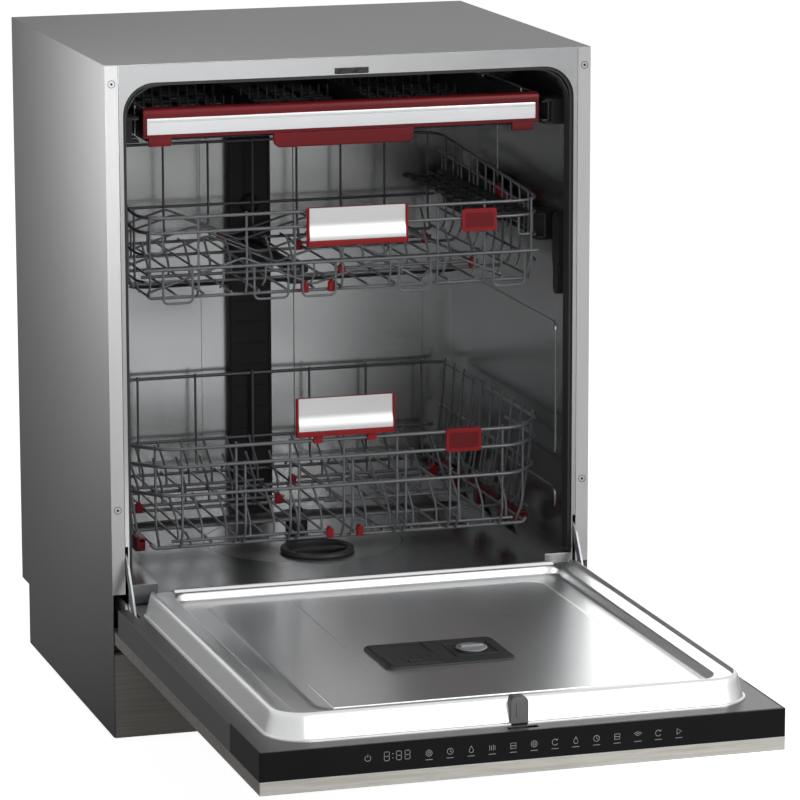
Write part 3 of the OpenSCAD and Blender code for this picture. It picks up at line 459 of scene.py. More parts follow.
def upperWalls(b):
    half, y0, y1, rim, floor, foot = (b[key] for key in ("half", "front", "back", "rim", "floor", "foot"))
    wire, lengthwise, thin, hook, tip = b["wires"]
    top = rim + b["rise"]
    second, backEnd = rim - 18, upperRim(b, y1, 0.8)
    wires = [
        ([(0, y1, top), (-half, y1, top), (-half, y0, rim), (half, y0, rim), (half, y1, top), (0, y1, top)],
         wire, b["corner"]),
        ([(-half, y1 - 2, backEnd), (-half, y0, second), (half, y0, second), (half, y1 - 2, backEnd)],
         wire, b["corner"]),
        ([(-half + 4, y0, rim - 62), (half - 4, y0, rim - 62)], wire),
        ([(-half + 4, y1, 571), (half - 4, y1, 571)], wire),
    ]
    for share in (0.12, 0.5):  # lengthwise wires of the side walls
        z, end = upperRim(b, y0, share), upperRim(b, y1, share)
        wires += bothSides([(half - 7, y0 + 6, z), (half, y0 + 20, z), (half, y1 - 3, end)], lengthwise, 8)
    for i in range(1, 12):
        x, y = half - 2.6, y0 + 8 + i * 400 / 12
        wires += bothSides([(x, y, upperRim(b, y) + 2.5), (x, y, foot), (x - 6, y, floor + 0.5)], thin, 9)
        if i % 2:  # short tips between the uprights
            x, y = half - 2.4, y + 16
            wires += bothSides([(x, y, upperRim(b, y, 0.8) + 2), (x, y, 572)], tip)
    for i in range(-4, 5):
        x, y = i * 59.5, y0 + 2.8
        wires.append(([(x, y, rim + 3), (x, y, foot), (x, 48.2, floor - 2)], thin, 8))
        x, y = i * 59, y1 - 2.8
        wires.append(([(x, y, top + 2), (x, y, foot), (x, 445.8, floor - 2)], thin, 8))
    y, high, low = y0 + 3, rim - 60, rim - 42
    for x0, x1 in b["loops"]:  # loops under the front
        wires.append(([(x0, y, high), (x0, y, 522.5), (x1, y, 522.5), (x1, y, high)], thin, 7))
    for x in b["ties"]:  # short ties between the front wires
        wires.append(([(x, y0 + 2.6, high), (x, y0 + 2.6, rim - 80), (x - 3, 46.5, rim - 88)], tip, 5))
    hooks = [(222, y, rim - 17), (222, y, low), (240, y + 2, low), (240, y + 2, rim - 17)]
    return wires + bothSides(hooks, hook, 5)


def lowerWalls(b):
    half, y0, y1, rim, cut = (b[key] for key in ("half", "front", "back", "rim", "cut"))
    wire, _, thin, sideBar, tip = b["wires"]
    low = b["floor"] - 2
    corner = half - cut + 2
    wires = []
    for z, out, end in b["levels"]:  # three front wires, of which the rim runs round
        y = y0 + cut
        path = [(-out, end, z), (-out, y, z), (-corner, y0, z), (corner, y0, z), (out, y, z), (out, end, z)]
        if end == y1:
            path = [(0, y1, z), *path, (0, y1, z)]
        wires.append((path, wire, 16))
    for i in range(-3, 4):
        x, y = i * (corner - 18) / 3, y0 + 2.8
        wires.append(([(x, y, rim + 4), (x, y, 240), (x, 52.5, low)], thin, 10))
        if abs(i) < 3:
            x += 11
            wires.append(([(x, y, rim - 20), (x, y, 240), (x, 52.5, low)], thin, 10))
        x, y = i * (half - 30) / 3, y1 - 2.8
        wires.append(([(x, y, rim + 4), (x, y, 238), (x, 455.5, low)], thin, 10))
    wires.append(([(-half + 14, y1, 262), (half - 14, y1, 262)], wire))
    wires += bothSides([(half - 12, y0 + cut + 2.3, 236), (half - 12, y1 - 3, 236)], sideBar)
    pitch = (y1 - y0 - cut - 30) / 9
    for i in range(10):
        y = y0 + cut + 14 + i * pitch
        wires += bothSides([(half - 0.5, y, rim + 8), (half - 2.6, y, rim - 4), (half - 5, y, rim - 44),
                            (half - 15.6, y, 228.6)], thin, 10)
        if i < 9:  # short tips between the uprights
            y += 18
            wires += bothSides([(half - 6.4, y, 292), (half - 9, y, 262), (half - 15.6, y, 229)], tip, 8)
    x, y = corner + 12, y0 + 14.5
    return wires + bothSides([(x, y, rim + 4), (x, y, 250), (x - 6, y + 9.5, low)], thin, 10)


clips = {  # height, places
    "upper": (533, ((-46, 47.5), (-12, 47.5), (-46, 446), (30, 149.5), (198, 149.5), (30, 344.5),
                    (198, 344.5))),
    "lower": (227, ((-14, 56), (24, 56), (-204, 254), (-24, 254), (22, 353), (212, 353))),
}


def rowClips(kind):  # small grips where the tine rows sit on the floor wires
    z, spots = clips[kind]
    bm = bmesh.new()
    for x, y in spots:
        addBlock(bm, (x - 4.5, y - 4, z - 7), (x + 4.5, y + 4, z + 5), 1.4)
        addBlock(bm, (x - 2.2, y - 5, z + 2), (x + 2.2, y + 5, z + 7), 1.0)
    solidPiece(kind + "_row_clips", bm, "red_plastic", kind + "_basket")


for kind, b, wallWires in (("upper", upperBasket, upperWalls), ("lower", lowerBasket, lowerWalls)):
    basket, tines = kind + "_basket", kind + "_tines"
    wirePiece(basket + "_floor_wires", floorWires(b), "coated_wire", basket, kind + "_floor")
    wirePiece(basket + "_wall_wires", wallWires(b), "coated_wire", basket, kind + "_walls")
    wirePiece(kind + "_folding_tines", tineRow(b, *b["foldingRow"]), "coated_wire", tines, tines)
    rowClips(kind)
print("baskets done")

pulls = {
    # label: left end, front, foot, width, height
    "upper": {"wide": 120, "tall": 39, "front": 29.2, "low": 591, "middle": 16,
              "label": (148, 33.4, 592, 44, 27.5), "hooks": ()},
    "lower": {"wide": 118, "tall": 40, "front": 29.0, "low": 359, "middle": 0,
              "label": (128, 33.2, 321, 45, 29), "hooks": (-34, 34)},
}
pullShape = {"steps": 14, "lean": 2.2, "sheet": 1.1, "depth": 6.4, "lip": 7.2, "edge": 3}


def pullPlate(kind):
    p, steps = pulls[kind], pullShape["steps"]
    x0 = p["middle"] - p["wide"] / 2
    bm = bmesh.new()
    section = []  # the lower half of the face leans out
    for i in range(steps + 1):
        t = i / steps
        part = min(1.0, max(0.0, (t - 0.06) / 0.44))
        lean = pullShape["lean"] * part * part * (3 - 2 * part)
        section.append((p["front"] + 0.15 + lean + 0.5 * t, p["low"] + t * p["tall"]))
    chain = [bm.verts.new(at(x0, y, z)) for y, z in section]
    edges = [bm.edges.new(pair) for pair in zip(chain, chain[1:])]
    made = ops.extrude_edge_only(bm, edges=edges)["geom"]
    far = [g for g in made if isinstance(g, BMVert)]
    ops.translate(bm, vec=(p["wide"] * mm, 0, 0), verts=far)
    ops.recalc_face_normals(bm, faces=bm.faces)
    if sum(f.normal.y for f in bm.faces) > 0:
        ops.reverse_faces(bm, faces=bm.faces)
    ops.solidify(bm, geom=bm.faces[:], thickness=pullShape["sheet"] * mm)
    solidPiece(kind + "_pull_face", bm, "steel_plate", kind + "_basket", kind + "_handle_plate", sharp=40)


def pullTrim(kind):
    p, s = pulls[kind], pullShape
    x0, x1 = p["middle"] - p["wide"] / 2, p["middle"] + p["wide"] / 2
    low, high, front = p["low"], p["low"] + p["tall"], p["front"]
    left, right, back = x0 - s["edge"], x1 + s["edge"], front + s["depth"]
    bm = bmesh.new()
    addBlock(bm, (left, front, low - s["lip"]), (right, back, low - 0.2), 1.2)
    for a, b in ((left, x0 - 0.2), (x1 + 0.2, right)):
        addBlock(bm, (a, front, low - 7), (b, back, high + 0.8), 1.0)
    for z0, z1 in ((low - 2, low + 3), (high - 5, high + 0.6)):
        addBlock(bm, (x0 - 0.4, front + 3, z0), (x1 + 0.4, front + 6.2, z1), 0.6)
    for x in (x0 + 18, p["middle"], x1 - 18):  # ribs behind the plate
        addBlock(bm, (x - 1.2, front + 4.3, low), (x + 1.2, front + 6.2, high - 2), 0.4)
    for x in p["hooks"]:  # hooks onto the rim wire
        addBlock(bm, (x - 6, 33.4, 342.6), (x + 6, 36, 358), 0.9)
    x, y, z, wide, tall = p["label"]
    addPlate(bm, roundedOutline(x, z, x + wide, z + tall, 3), "y", y, y + 2.2, 0.5)
    for level in (z + 2.5, z + tall - 2.5):  # clips over the wires
        addBlock(bm, (x + 3, y + 1.6, level - 2.6), (x + wide - 3, y + 6.6, level + 2.6), 1.0)
    solidPiece(kind + "_pull_grip", bm, "red_plastic", kind + "_basket", kind + "_handle_trim")
    bm = bmesh.new()  # a plain raised field where the label is
    field = roundedOutline(x + 4, z + 5, x + wide - 4, z + tall - 5, 2)
    addPlate(bm, field, "y", y - 0.35, y + 0.3, 0.15, 1)
    solidPiece(kind + "_label_field", bm, "burgundy", kind + "_basket", slot="red_plastic")


levers = {
    "outline": ((158, 582), (146, 589), (150, 597), (196, 614), (206, 620), (218, 621), (226, 615),
                (249, 569), (246, 560), (236, 560), (216, 598), (208, 602), (200, 601)),
    "pivot": (252.3, 214, 612),
    "boss": ((0, 0), (5.6, 0), (6, 0.4), (6, 3.4), (5.2, 4), (2.4, 4), (2, 3.4), (0, 3.4)),
    "pads": ((158, 589), (241, 567)),
    "pad": ((0, 0), (4.4, 0), (4.2, 0.5), (2.6, 0.8), (0, 0.8)),
}


def lever(side):
    bm = bmesh.new()
    addPlate(bm, levers["outline"], "x", 252.6, 255.7, 1.0, 3)
    addTurned(bm, levers["pivot"], rightward, levers["boss"], 28)
    for y, z in levers["pads"]:  # finger pads at both ends
        addTurned(bm, (255.4, y, z), rightward, levers["pad"], 20)
    onSide(bm, side)
    body = "adjust_lever_" + sideName[side]
    solidPiece("adjust_lever_grip_" + sideName[side], bm, "red_plastic", body, body)


for kind in pulls:
    pullPlate(kind)
    pullTrim(kind)
for side in sideName:
    lever(side)
print("pulls done")

shelf = {
    "left": 194.5, "right": 240.5, "front": 68, "back": 418, "foot": 604, "top": 608,
    "slats": (194.5, 208.5, 222.5, 236.5), "pitch": 35,
    "tooth": ((1, -2), (-4, 0), (-9, 5), (-9, 13), (-4, 18), (1, 20)),
    "hinge": (242.5, 68, 606),
    "rod": ((0, 0), (2.2, 0), (2.6, 0.4), (2.6, 349.6), (2.2, 350), (0, 350)),
}
x0, x1, y0, y1, low, high = (shelf[key] for key in ("left", "right", "front", "back", "foot", "top"))
bm = bmesh.new()
for x in shelf["slats"]:
    addBlock(bm, (x, y0, low), (x + 4, y1, high), 1.0)
for y in range(y0, y1, shelf["pitch"]):
    addBlock(bm, (x0, y, low + 0.5), (x1, y + 3, high - 0.5), 0.7)
for y in range(y0 + 8, y1 - 20, shelf["pitch"]):  # soft comb that holds stems
    addPlate(bm, [(x0 + a, y + b) for a, b in shelf["tooth"]], "z", low, high, 1.0)
addTurned(bm, shelf["hinge"], backward, shelf["rod"], 16)
solidPiece("cup_shelf_comb", bm, "black_plastic", "cup_shelf", "cup_shelf")

wheels = {"x": 252.5, "rows": (162, 260, 358, 456), "z": 208.3, "radius": 15, "width": 9, "axle": 2.5,
          "spokes": 5}


def wheelPiece(side, number, y):
    r, half, bore = wheels["radius"], wheels["width"] / 2, wheels["axle"] + 0.05
    outer = [(bore, half), (bore + 2.4, half), (bore + 2.8, half - 1.6), (r - 4.2, half - 1.6),
             (r - 3.4, half), (r - 0.8, half), (r, half - 0.9), (r, 1.1), (r - 0.5, 0.7)]
    profile = [(a, -h) for a, h in outer] + outer[::-1] + [(bore, -half)]
    x, z = side * wheels["x"], wheels["z"]
    bm = bmesh.new()
    addTurned(bm, (x, y, z), rightward, profile, 40)
    for k in range(wheels["spokes"]):  # raised spokes in both recesses
        low, high = (x - half + 0.3, y - 0.9, z + bore + 2), (x + half - 0.3, y + 0.9, z + r - 3.6)
        turn = Matrix.Rotation(tau * k / wheels["spokes"], 3, "X")
        ops.rotate(bm, cent=at(x, y, z), matrix=turn, verts=addBlock(bm, low, high, 0.3, 1))
    name = "wheel_" + sideName[side] + "_" + str(number)
    solidPiece(name + "_tread", bm, "wheel_plastic", name, name, slot="graphite_plastic")


carrier = {
    "bar": ((238.4, 84), (246, 84), (246, 462), (238.4, 462)),
    "arch": ((-13, 228), (-9, 221), (-8, 203), (-5, 200.4), (5, 200.4), (8, 203), (9, 221), (13, 228)),
    "nose": ((84, 229), (84, 214), (90, 211.4), (112, 211.4), (122, 216), (126, 223), (126, 229)),
    "clips": (211, 309, 407, 452),
    "axle": ((0, 0), (2.5, 0), (2.5, 10.7), (4, 10.8), (4.1, 11.2), (3.4, 12), (0, 12)),
}


def wheelCarrier(side):
    bm = bmesh.new()
    addPlate(bm, carrier["bar"], "z", 223.2, 228, 1.2)
    for y in wheels["rows"]:
        addPlate(bm, [(y + a, z) for a, z in carrier["arch"]], "x", 238.4, 247.4, 1.2)
    addPlate(bm, carrier["nose"], "x", 237.2, 248.6, 1.4)
    for y in carrier["clips"]:  # clips round the floor wires
        addBlock(bm, (237.4, y - 6, 221.6), (243, y + 6, 230), 1.4)
    onSide(bm, side)
    packed = ["wheel_carriers"] if side > 0 else []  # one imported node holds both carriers
    solidPiece("wheel_carrier_" + sideName[side], bm, "burgundy", "lower_basket", *packed, slot="red_plastic")
    bm = bmesh.new()
    for y in wheels["rows"]:
        addTurned(bm, (side * 246.6, y, wheels["z"]), (side, 0, 0), carrier["axle"], 20)
    solidPiece("wheel_axles_" + sideName[side], bm, "wheel_plastic", "lower_basket", slot="red_plastic")


for side in sideName:
    for number, y in enumerate(wheels["rows"], 1):
        wheelPiece(side, number, y)
    wheelCarrier(side)
print("wheels done")

tray = {
    "bar": ((41.7, 722), (34.5, 722), (34, 722.5), (34, 725.6), (34.95, 726), (34.95, 746.2), (34, 746.6),
            (33.9, 751), (34.3, 754.6), (35.6, 757), (37.6, 758), (40.6, 758), (41.7, 757)),
    "pull": ((-88, 723), (-86, 709), (-81, 705), (81, 705), (86, 709), (88, 723)),
    "strip": ((34.88, 726.3), (33.75, 726.3), (33.55, 726.9), (33.55, 741.0), (33.75, 741.3), (34.4, 741.4),
              (34.4, 742.2), (33.75, 742.3), (33.55, 742.6), (33.55, 745.2), (33.75, 745.7), (34.88, 745.7)),
    "combs": {(-222, -80): (78, 150, 236, 330), (-60, 62): (104, 300), (84, 222): (78, 170, 262, 376)},
    "pitch": 11.2,
    "tooth": ((-1.3, 726), (1.3, 726), (0.8, 741), (0, 743), (-0.8, 741)),
    "rim": (241.7, 43, 458.4, 756.4),  # the bright wire: half width, front, back, height
    "posts": ((-241.7, 91), (-241.7, 241.6), (-241.7, 392), (241.7, 91), (241.7, 241.6), (241.7, 392),
              (-160, 458.4), (0, 458.4), (160, 458.4)),
}
bm = bmesh.new()
addPlate(bm, tray["bar"], "x", -245, 245)
for side in sideName:
    a, b = spanOn(side, 211, 239)
    addBlock(bm, (a, 34.6, 712), (b, 41, 724), 1.8)
    a, b = spanOn(side, 240.6, 244.9)
    addBlock(bm, (a, 35.3, 723), (b, 41.9, 756.6), 1.2)
addPlate(bm, tray["pull"], "y", 32, 38, 1.6, 3)
solidPiece("tray_pull_bar", bm, "burgundy", "cutlery_tray", "tray_bar", sharp=40)
bm = bmesh.new()
addPlate(bm, tray["strip"], "x", -240.6, 240.4)
solidPiece("tray_face_strip", bm, "aluminium", "cutlery_tray", "tray_strip")
bm = bmesh.new()  # rows of teeth that hold the cutlery apart
for (x0, x1), rows in tray["combs"].items():
    for y in rows:
        addBlock(bm, (x0, y - 2, 722.6), (x1, y + 2, 727), 0.8, 1)
        x = x0 + 4
        while x < x1 - 2:
            addPlate(bm, [(x + a, z) for a, z in tray["tooth"]], "y", y - 1.3, y + 1.3)
            x += tray["pitch"]
solidPiece("tray_comb_rows", bm, "graphite_plastic", "cutlery_tray", slot="black_plastic")
half, y0, y1, top = tray["rim"]
wires = [([(half, y0, top), (half, y1, top), (-half, y1, top), (-half, y0, top)], 3.0, 12)]
wires += [([(x, y, top), (x, y, 719)], 2.6) for x, y in tray["posts"]]
wirePiece("tray_rim_wires", wires, "bright_wire", "cutlery_tray", slot="zinc_steel")
print("tray done")

liner = {
    "half": 272.5, "front": -627, "back": -38, "ledge": 193,
    # inset of the upright side walls, inset of the sloped front wall, height
    "rim": ((-2.6, -2.6, 166.5), (-2.6, -2.6, 169.3), (-2.2, -2.2, 169.7), (-0.4, -0.4, 169.9),
            (0.3, 0.6, 171), (4.6, 5.4, 188.6), (5.4, 6.3, 191.8), (6.2, 7.6, 194.4), (7.2, 9.3, 196.2),
            (8.9, 11.2, 197), (9.5, 12.6, 197), (10.7, 14.2, 196.2), (11.4, 15.2, 194.6), (12.6, 16.2, 193.4),
            (17.4, 17.4, 193)),
    # inset at the sides, at the front and at the back, height
    "basin": ((29.2, 24, 18.2, 193), (31.2, 25.6, 19.6, 192.3), (32.6, 26.8, 20.8, 190),
              (33.6, 27.6, 21.6, 186), (35.2, 29, 23, 184), (38, 31.5, 26, 183), (62, 56, 48, 183),
              (65, 59, 51, 184.3), (69, 63, 55, 184.6)),
    "gap": (237, 258.5), "gapFront": -62,  # the rack wheels leave here over the back edge
    "cuts": (235.5, 237.5, 258, 260),
    "field": ((106, -104), (106, -418), (190, -467), (190, -566)),  # right half of the pressed field
}
half, front, back, ledge = (liner[key] for key in ("half", "front", "back", "ledge"))
rings = [ringSpots(half - side, front + i, back - max(i, 0), z, max(45 - i, 24), max(20 - i, 6))
         for side, i, z in liner["rim"]]
rings += [ringSpots(half - side, front + near, back - far, z, 26, 18)
          for side, near, far, z in liner["basin"]]
bm = bmesh.new()
addShell(bm, rings)
for x in liner["cuts"]:
    for side in sideName:
        whole = bm.verts[:] + bm.edges[:] + bm.faces[:]
        ops.bisect_plane(bm, geom=whole, plane_co=(side * x * mm, 0, 0), plane_no=rightward, dist=1e-6)
low, high = liner["gap"]
for v in bm.verts:
    x, y, z = v.co / mm
    if y - frontPlane > liner["gapFront"] and low < abs(x) < high and z > ledge:
        v.co.z = ledge * mm
solidPiece("door_inner_shell", bm, "liner_steel", "door", "door_liner", slot="tub_steel", sharp=50)
bm = bmesh.new()  # a field pressed into the liner, wider towards the handle side
field = [(-x, y) for x, y in liner["field"]] + list(reversed(liner["field"]))
addPlate(bm, field, "z", 183.6, 185.6, 0.9, 3)
solidPiece("door_liner_field", bm, "liner_steel", "door", slot="tub_steel", sharp=60)

pictures = {  # plain pictures for the touch keys, drawn round their middle
    "power": [arc(0, 0, 3.2, 120, 420, 14), [(0, 1), (0, 4.4)]],
    "rings": [arc(0, 0, 3.4, 0, 360, 16), arc(0, 0, 1.5, 0, 360, 10)],
    "drop": [[(0, 4), (2.3, -0.6), *arc(0, -1.2, 2.4, 15, -195, 8), (0, 4)]],
    "clock": [arc(0, 0, 3.3, 0, 360, 16), [(0, 2), (0, 0), (1.8, -1)]],
    "bars": [[(2 * i - 3, -3), (2 * i - 3, 3 - i % 2)] for i in range(4)],
    "waves": [arc(0, -2, r, 35, 145, 8) for r in (1.6, 3.4, 5.2)],
    "racks": [[(-3, -3), (-3, 3), (3, 3), (3, -3), (-3, -3)], [(-3, 0), (3, 0)]],
    "turn": [arc(0, 0, 3.3, 40, 330, 14), [(3.2, 3.4), (2.6, 1.9), (0.9, 2.4)]],
    "start": [[(-2.2, -3.2), (3.2, 0), (-2.2, 3.2), (-2.2, -3.2)]],
}
panel = {
    "front": -655.1, "height": 152.5, "line": 0.45,
    "power": -178, "digits": (-157, -143.6, -134), "colon": -150.3,
    "first": -110, "pitch": 23.6,
    "keys": ("rings", "clock", "drop", "bars", "racks", "rings", "turn", "drop", "clock", "racks", "waves",
             "turn", "start"),
}


def digit(cx, cz, wide=5.6, tall=9.6, gap=0.5):  # all seven strokes of one numeral
    w, t = wide / 2, tall / 2
    flat = [[(cx - w + gap, z), (cx + w - gap, z)] for z in (cz + t, cz, cz - t)]
    upright = [[(x, z + t - gap), (x, z + gap)] for z in (cz, cz - t) for x in (cx - w, cx + w)]
    return flat + upright


def picture(kind, x, z):
    return [[(x + a, z + b) for a, b in stroke] for stroke in pictures[kind]]


z = panel["height"]
strokes = picture("power", panel["power"], z)
for x in panel["digits"]:
    strokes += digit(x, z + 0.5)
strokes += [arc(panel["colon"], z + dz, 0.35, 0, 360, 6) for dz in (-1.8, 2.8)]
for i, kind in enumerate(panel["keys"]):
    x = panel["first"] + i * panel["pitch"]
    strokes += picture(kind, x, z)
    strokes.append([(x - 4, z - 7.2), (x + 4, z - 7.2)])
lines = [([(a, panel["front"], b) for a, b in stroke], panel["line"]) for stroke in strokes]
wirePiece("control_pictures", lines, "lit_print", "door", slot="black_gloss", sides=1)

dispenser = {
    "outline": (-90, -437, 62, -337, 9), "frames": ((-86, -22, -434, -342), (-2, 50, -414, -360)),
    "cover": (-84, -432, -24, -388, 4), "tab": (-62, -426, -46, -421, 2), "ribs": range(-76, -31, 11),
    "cap": (24, -387),
    "dial": ((0, 0), (17.4, 0), (18, 0.5), (17.6, 1.3), (14.8, 1.8), (12.4, 1.7), (0, 1.7)),
    "plug": ((0, 0), (14, 0), (14.9, 1), (14.9, 12.5), (0, 12.5)),
    "grip": ((-13.4, -2), (-12, -2.6), (12, -2.6), (13.4, -2), (13.4, 2), (12, 2.6), (-12, 2.6), (-13.4, 2)),
}
bm = bmesh.new()
addPlate(bm, roundedOutline(*dispenser["outline"], 4), "z", 170, 188.6, 1.6)
for x0, x1, y0, y1 in dispenser["frames"]:  # raised frames round the lid and the cap
    bars = (x0, x1, y0, y0 + 3), (x0, x1, y1 - 3, y1), (x0, x0 + 2, y0, y1), (x1 - 2, x1, y0, y1)
    for left, right, near, far in bars:
        addBlock(bm, (left, near, 186), (right, far, 190), 0.8, 1)
solidPiece("dispenser_body", bm, "graphite_plastic", "door", "dispenser_housing", slot="black_plastic")
bm = bmesh.new()
addPlate(bm, roundedOutline(*dispenser["cover"]), "z", 188.7, 190.4, 0.6)
addPlate(bm, roundedOutline(*dispenser["tab"]), "z", 190.2, 192, 0.5)
for x in dispenser["ribs"]:
    addBlock(bm, (x, -414, 190), (x + 3, -394, 191), 0.4, 1)
solidPiece("dispenser_cover", bm, "graphite_plastic", "dispenser_lid", "dispenser_lid")
bm = bmesh.new()
x, y = dispenser["cap"]
addTurned(bm, (x, y, 190.3), upward, dispenser["dial"], 36)
addPlate(bm, [(x + a, y + b) for a, b in dispenser["grip"]], "z", 191, 194.5, 1.0)
addTurned(bm, (x, y, 178), upward, dispenser["plug"], 24)
solidPiece("rinse_aid_knob", bm, "pale_plastic", "rinse_aid_cap", "rinse_aid_cap", slot="graphite_plastic")

latch = {"body": (-10.4, 158, 10.4, 198.2, 6), "front": -629.6, "back": -613.2, "slot": (-4, 176, 4, 192, 2)}
bm = bmesh.new()
addPlate(bm, roundedOutline(*latch["body"]), "y", latch["front"], latch["back"], 2.4, 3)
addPlate(bm, roundedOutline(*latch["slot"]), "y", latch["front"] - 0.6, latch["front"] + 0.4, 0.3, 1)
solidPiece("latch_cover", bm, "latch_plastic", "door", "door_latch", slot="graphite_plastic", sharp=40)
print("door done")

tubShape = {
    "backFields": ((-238, 232, -62, 470), (-238, 500, -62, 742), (62, 232, 238, 470), (62, 500, 238, 742)),
    "sideFields": ((60, 232, 440, 262), (60, 300, 440, 470), (290, 512, 440, 700)),
    "beads": ((-274.9, 200), (-274.9, 790.4), (274.9, 790.4), (274.9, 200)), "beadRows": (6.4, 12.2, 18.4),
}
bm = bmesh.new()  # shallow pressed fields on the walls
for field in tubShape["backFields"]:
    addPlate(bm, roundedOutline(*field, 22, 6), "y", 483.4, 485.2, 1.2, 3)
for side in sideName:
    for field in tubShape["sideFields"]:
        addPlate(bm, roundedOutline(*field, 12, 6), "x", *spanOn(side, 276.4, 277.7), 0.9, 3)
solidPiece("tub_pressings", bm, "tub_steel", "cabinet", sharp=60)
beads = [([(x, y, z) for x, z in tubShape["beads"]], 2.8, 52) for y in tubShape["beadRows"]]
wirePiece("seal_beads", beads, "seal_rubber", "cabinet")

screw = {
    "x": 291, "heights": (793, 285),
    "head": ((0, 0), (4, 0), (3.9, 0.3), (3.0, 0.5), (1.7, 0.5), (1.5, 0.15), (0, 0.15)),
    # black marks of painted shade: a painted contact shadow ring round each head, and painted shade in its
    # drive recess
    "shadow": ((0, 0), (4.6, 0), (4.6, 0.12), (4.2, 0.12), (4.2, 0.02), (0, 0.02)),
    "socket": ((0, 0), (1.9, 0), (1.8, 0.12), (0, 0.12)),
}
heads, screwShade = bmesh.new(), bmesh.new()
for side in sideName:
    for z in screw["heights"]:
        x = side * screw["x"]
        addTurned(heads, (x, 0, z), forward, screw["head"], 20)
        # a thin black ring just round each head: a painted contact shadow
        addTurned(screwShade, (x, -0.05, z), forward, screw["shadow"], 24)
        # a black hexagon sunk in each drive recess: painted shade where the recess would be dark
        addTurned(screwShade, (x, -0.1, z), forward, screw["socket"], 6)
solidPiece("screw_heads", heads, "satin_steel", "cabinet", "panel_screws", slot="zinc_steel", sharp=50)
# the painted shadow rings and painted recess shade, as one black piece
solidPiece("screw_painted_shade", screwShade, "black_plastic", "cabinet", sharp=50)

foot = {"x": 250, "rows": (60, 430), "pad": ((0, 0), (15, 0), (16, 1), (16, 3), (14, 4.4), (8, 5)),
        "threads": 16, "top": 19.8}
thread = [(5.4 + 0.6 * (i % 2), 5.2 + 0.9 * i) for i in range(foot["threads"])]
bm = bmesh.new()
for side in sideName:
    for y in foot["rows"]:
        addTurned(bm, (side * foot["x"], y, 0), upward, [*foot["pad"], *thread, (0, foot["top"])], 24)
solidPiece("feet_turned", bm, "black_plastic", "cabinet", "levelling_feet")

duct = {
    "edges": (-25.5, 25.5), "foot": 186, "top": 782, "ribs": range(215, 440, 28),
    "ports": (517.7, 567.7),  # heights of the docking ports
    "collar": ((8.2, 0), (12.6, 0), (13, 0.6), (13, 1.6), (12, 2.4), (9.4, 2.4), (8.2, 1.8), (8.2, 0)),
    "roofRibs": (280, 330, 380, 430),
}
bm = bmesh.new()
for x in duct["edges"]:
    addBlock(bm, (x - 1.6, 469.8, duct["foot"]), (x + 1.6, 471.6, duct["top"]), 0.7)
for z in duct["ribs"]:
    addBlock(bm, (-20, 470.2, z), (20, 471.4, z + 2.4), 0.4, 1)
for z in duct["ports"]:
    addTurned(bm, (0, 470.9, z), forward, duct["collar"], 28)
for y in duct["roofRibs"]:
    addBlock(bm, (-24, y, 783), (24, y + 2.4, 784.2), 0.4, 1)
solidPiece("duct_ribs", bm, "black_plastic", "cabinet")

armPivot = (0, 256)
arms = {
    # reach, foot, top, radius of the hub, radius of its bore
    "lower_spray_arm": (212, 199.4, 207.4, 20, 8.05),
    "middle_spray_arm": (212, 503.4, 508.4, 18, 7.05),
    "ceiling_spray_arm": (95, 772.7, 778.7, 14, 6.05),
}
blade = {
    "half": 11,
    # share of the reach, share of the half width, share of the half height
    "stations": ((0.2, 1.28, 1), (0.6, 1.06, 1), (0.90, 0.98, 1), (0.95, 0.86, 0.9), (0.985, 0.62, 0.7),
                 (1.0, 0.30, 0.35)),
    "nozzles": 6,
    "nozzle": ((0, 0.2), (1.0, 0.2), (1.2, 0.9), (2.6, 0.9), (3.4, 0.3), (3.6, -0.8), (0, -0.8)),
}


def sprayArm(name):
    reach, low, high, hub, bore = arms[name]
    x0, y0 = armPivot
    tall = high - low
    right = blade["stations"]
    bm = bmesh.new()
    rings = []
    for share, wide, thick in [(-s, w, t) for s, w, t in reversed(right)] + list(right):
        made = ops.create_circle(bm, segments=20, radius=1)["verts"]
        size = Matrix.Diagonal((tall / 2 * thick * mm, blade["half"] * wide * mm, mm, 1))
        place = Matrix.Translation(at(x0 + share * reach, y0, (low + high) / 2))
        ops.transform(bm, verts=made, matrix=place @ Matrix.Rotation(pi / 2, 4, "Y") @ size)
        rings.append(list({e for v in made for e in v.link_edges}))
    for one, two in zip(rings, rings[1:]):
        ops.bridge_loops(bm, edges=one + two)
    for ring in (rings[0], rings[-1]):
        ops.holes_fill(bm, edges=ring, sides=0)
    for i in range(blade["nozzles"]):  # nozzles on both blades, in two rows
        r, out = 45 + i * (reach - 70) / 5.5, 3 if i % 2 else -3
        for side in sideName:
            addTurned(bm, (x0 + side * r, y0 + side * out, high - 0.9), upward, blade["nozzle"], 14)
    socket = [(bore, 0), (hub - 1, 0), (hub, 0.8), (hub, tall - 1), (hub - 2, tall), (bore + 2.5, tall),
              (bore + 1.6, tall - 0.8), (bore, tall - 0.8), (bore, 0)]
    addTurned(bm, (x0, y0, low), upward, socket, 36)
    solidPiece(name + "_blades", bm, "graphite_plastic", name, name, sharp=45)


feed = {
    "riser": ((0, 0), (9.6, 0), (11, 0.8), (11, 2.4), (9.6, 2.9), (7, 2.9), (7, 13), (15.4, 13.3), (17, 14.6),
              (17, 21), (15.6, 22.3), (8, 23.4), (0, 23.6)),
    "pipe": ((0, 0), (8, 0), (8, 150), (8.7, 152), (8.7, 160), (8, 162), (8, 206), (7, 211.6), (5.6, 211.8),
             (5.2, 205), (0, 205)),
}
bm = bmesh.new()
addTurned(bm, (*armPivot, 500.4), upward, feed["riser"], 36)
addTurned(bm, (*armPivot, 517.7), backward, feed["pipe"], 28)
solidPiece("middle_feed_pipe", bm, "graphite_plastic", "upper_basket", "middle_feed_tube",
           slot="black_plastic", sharp=45)

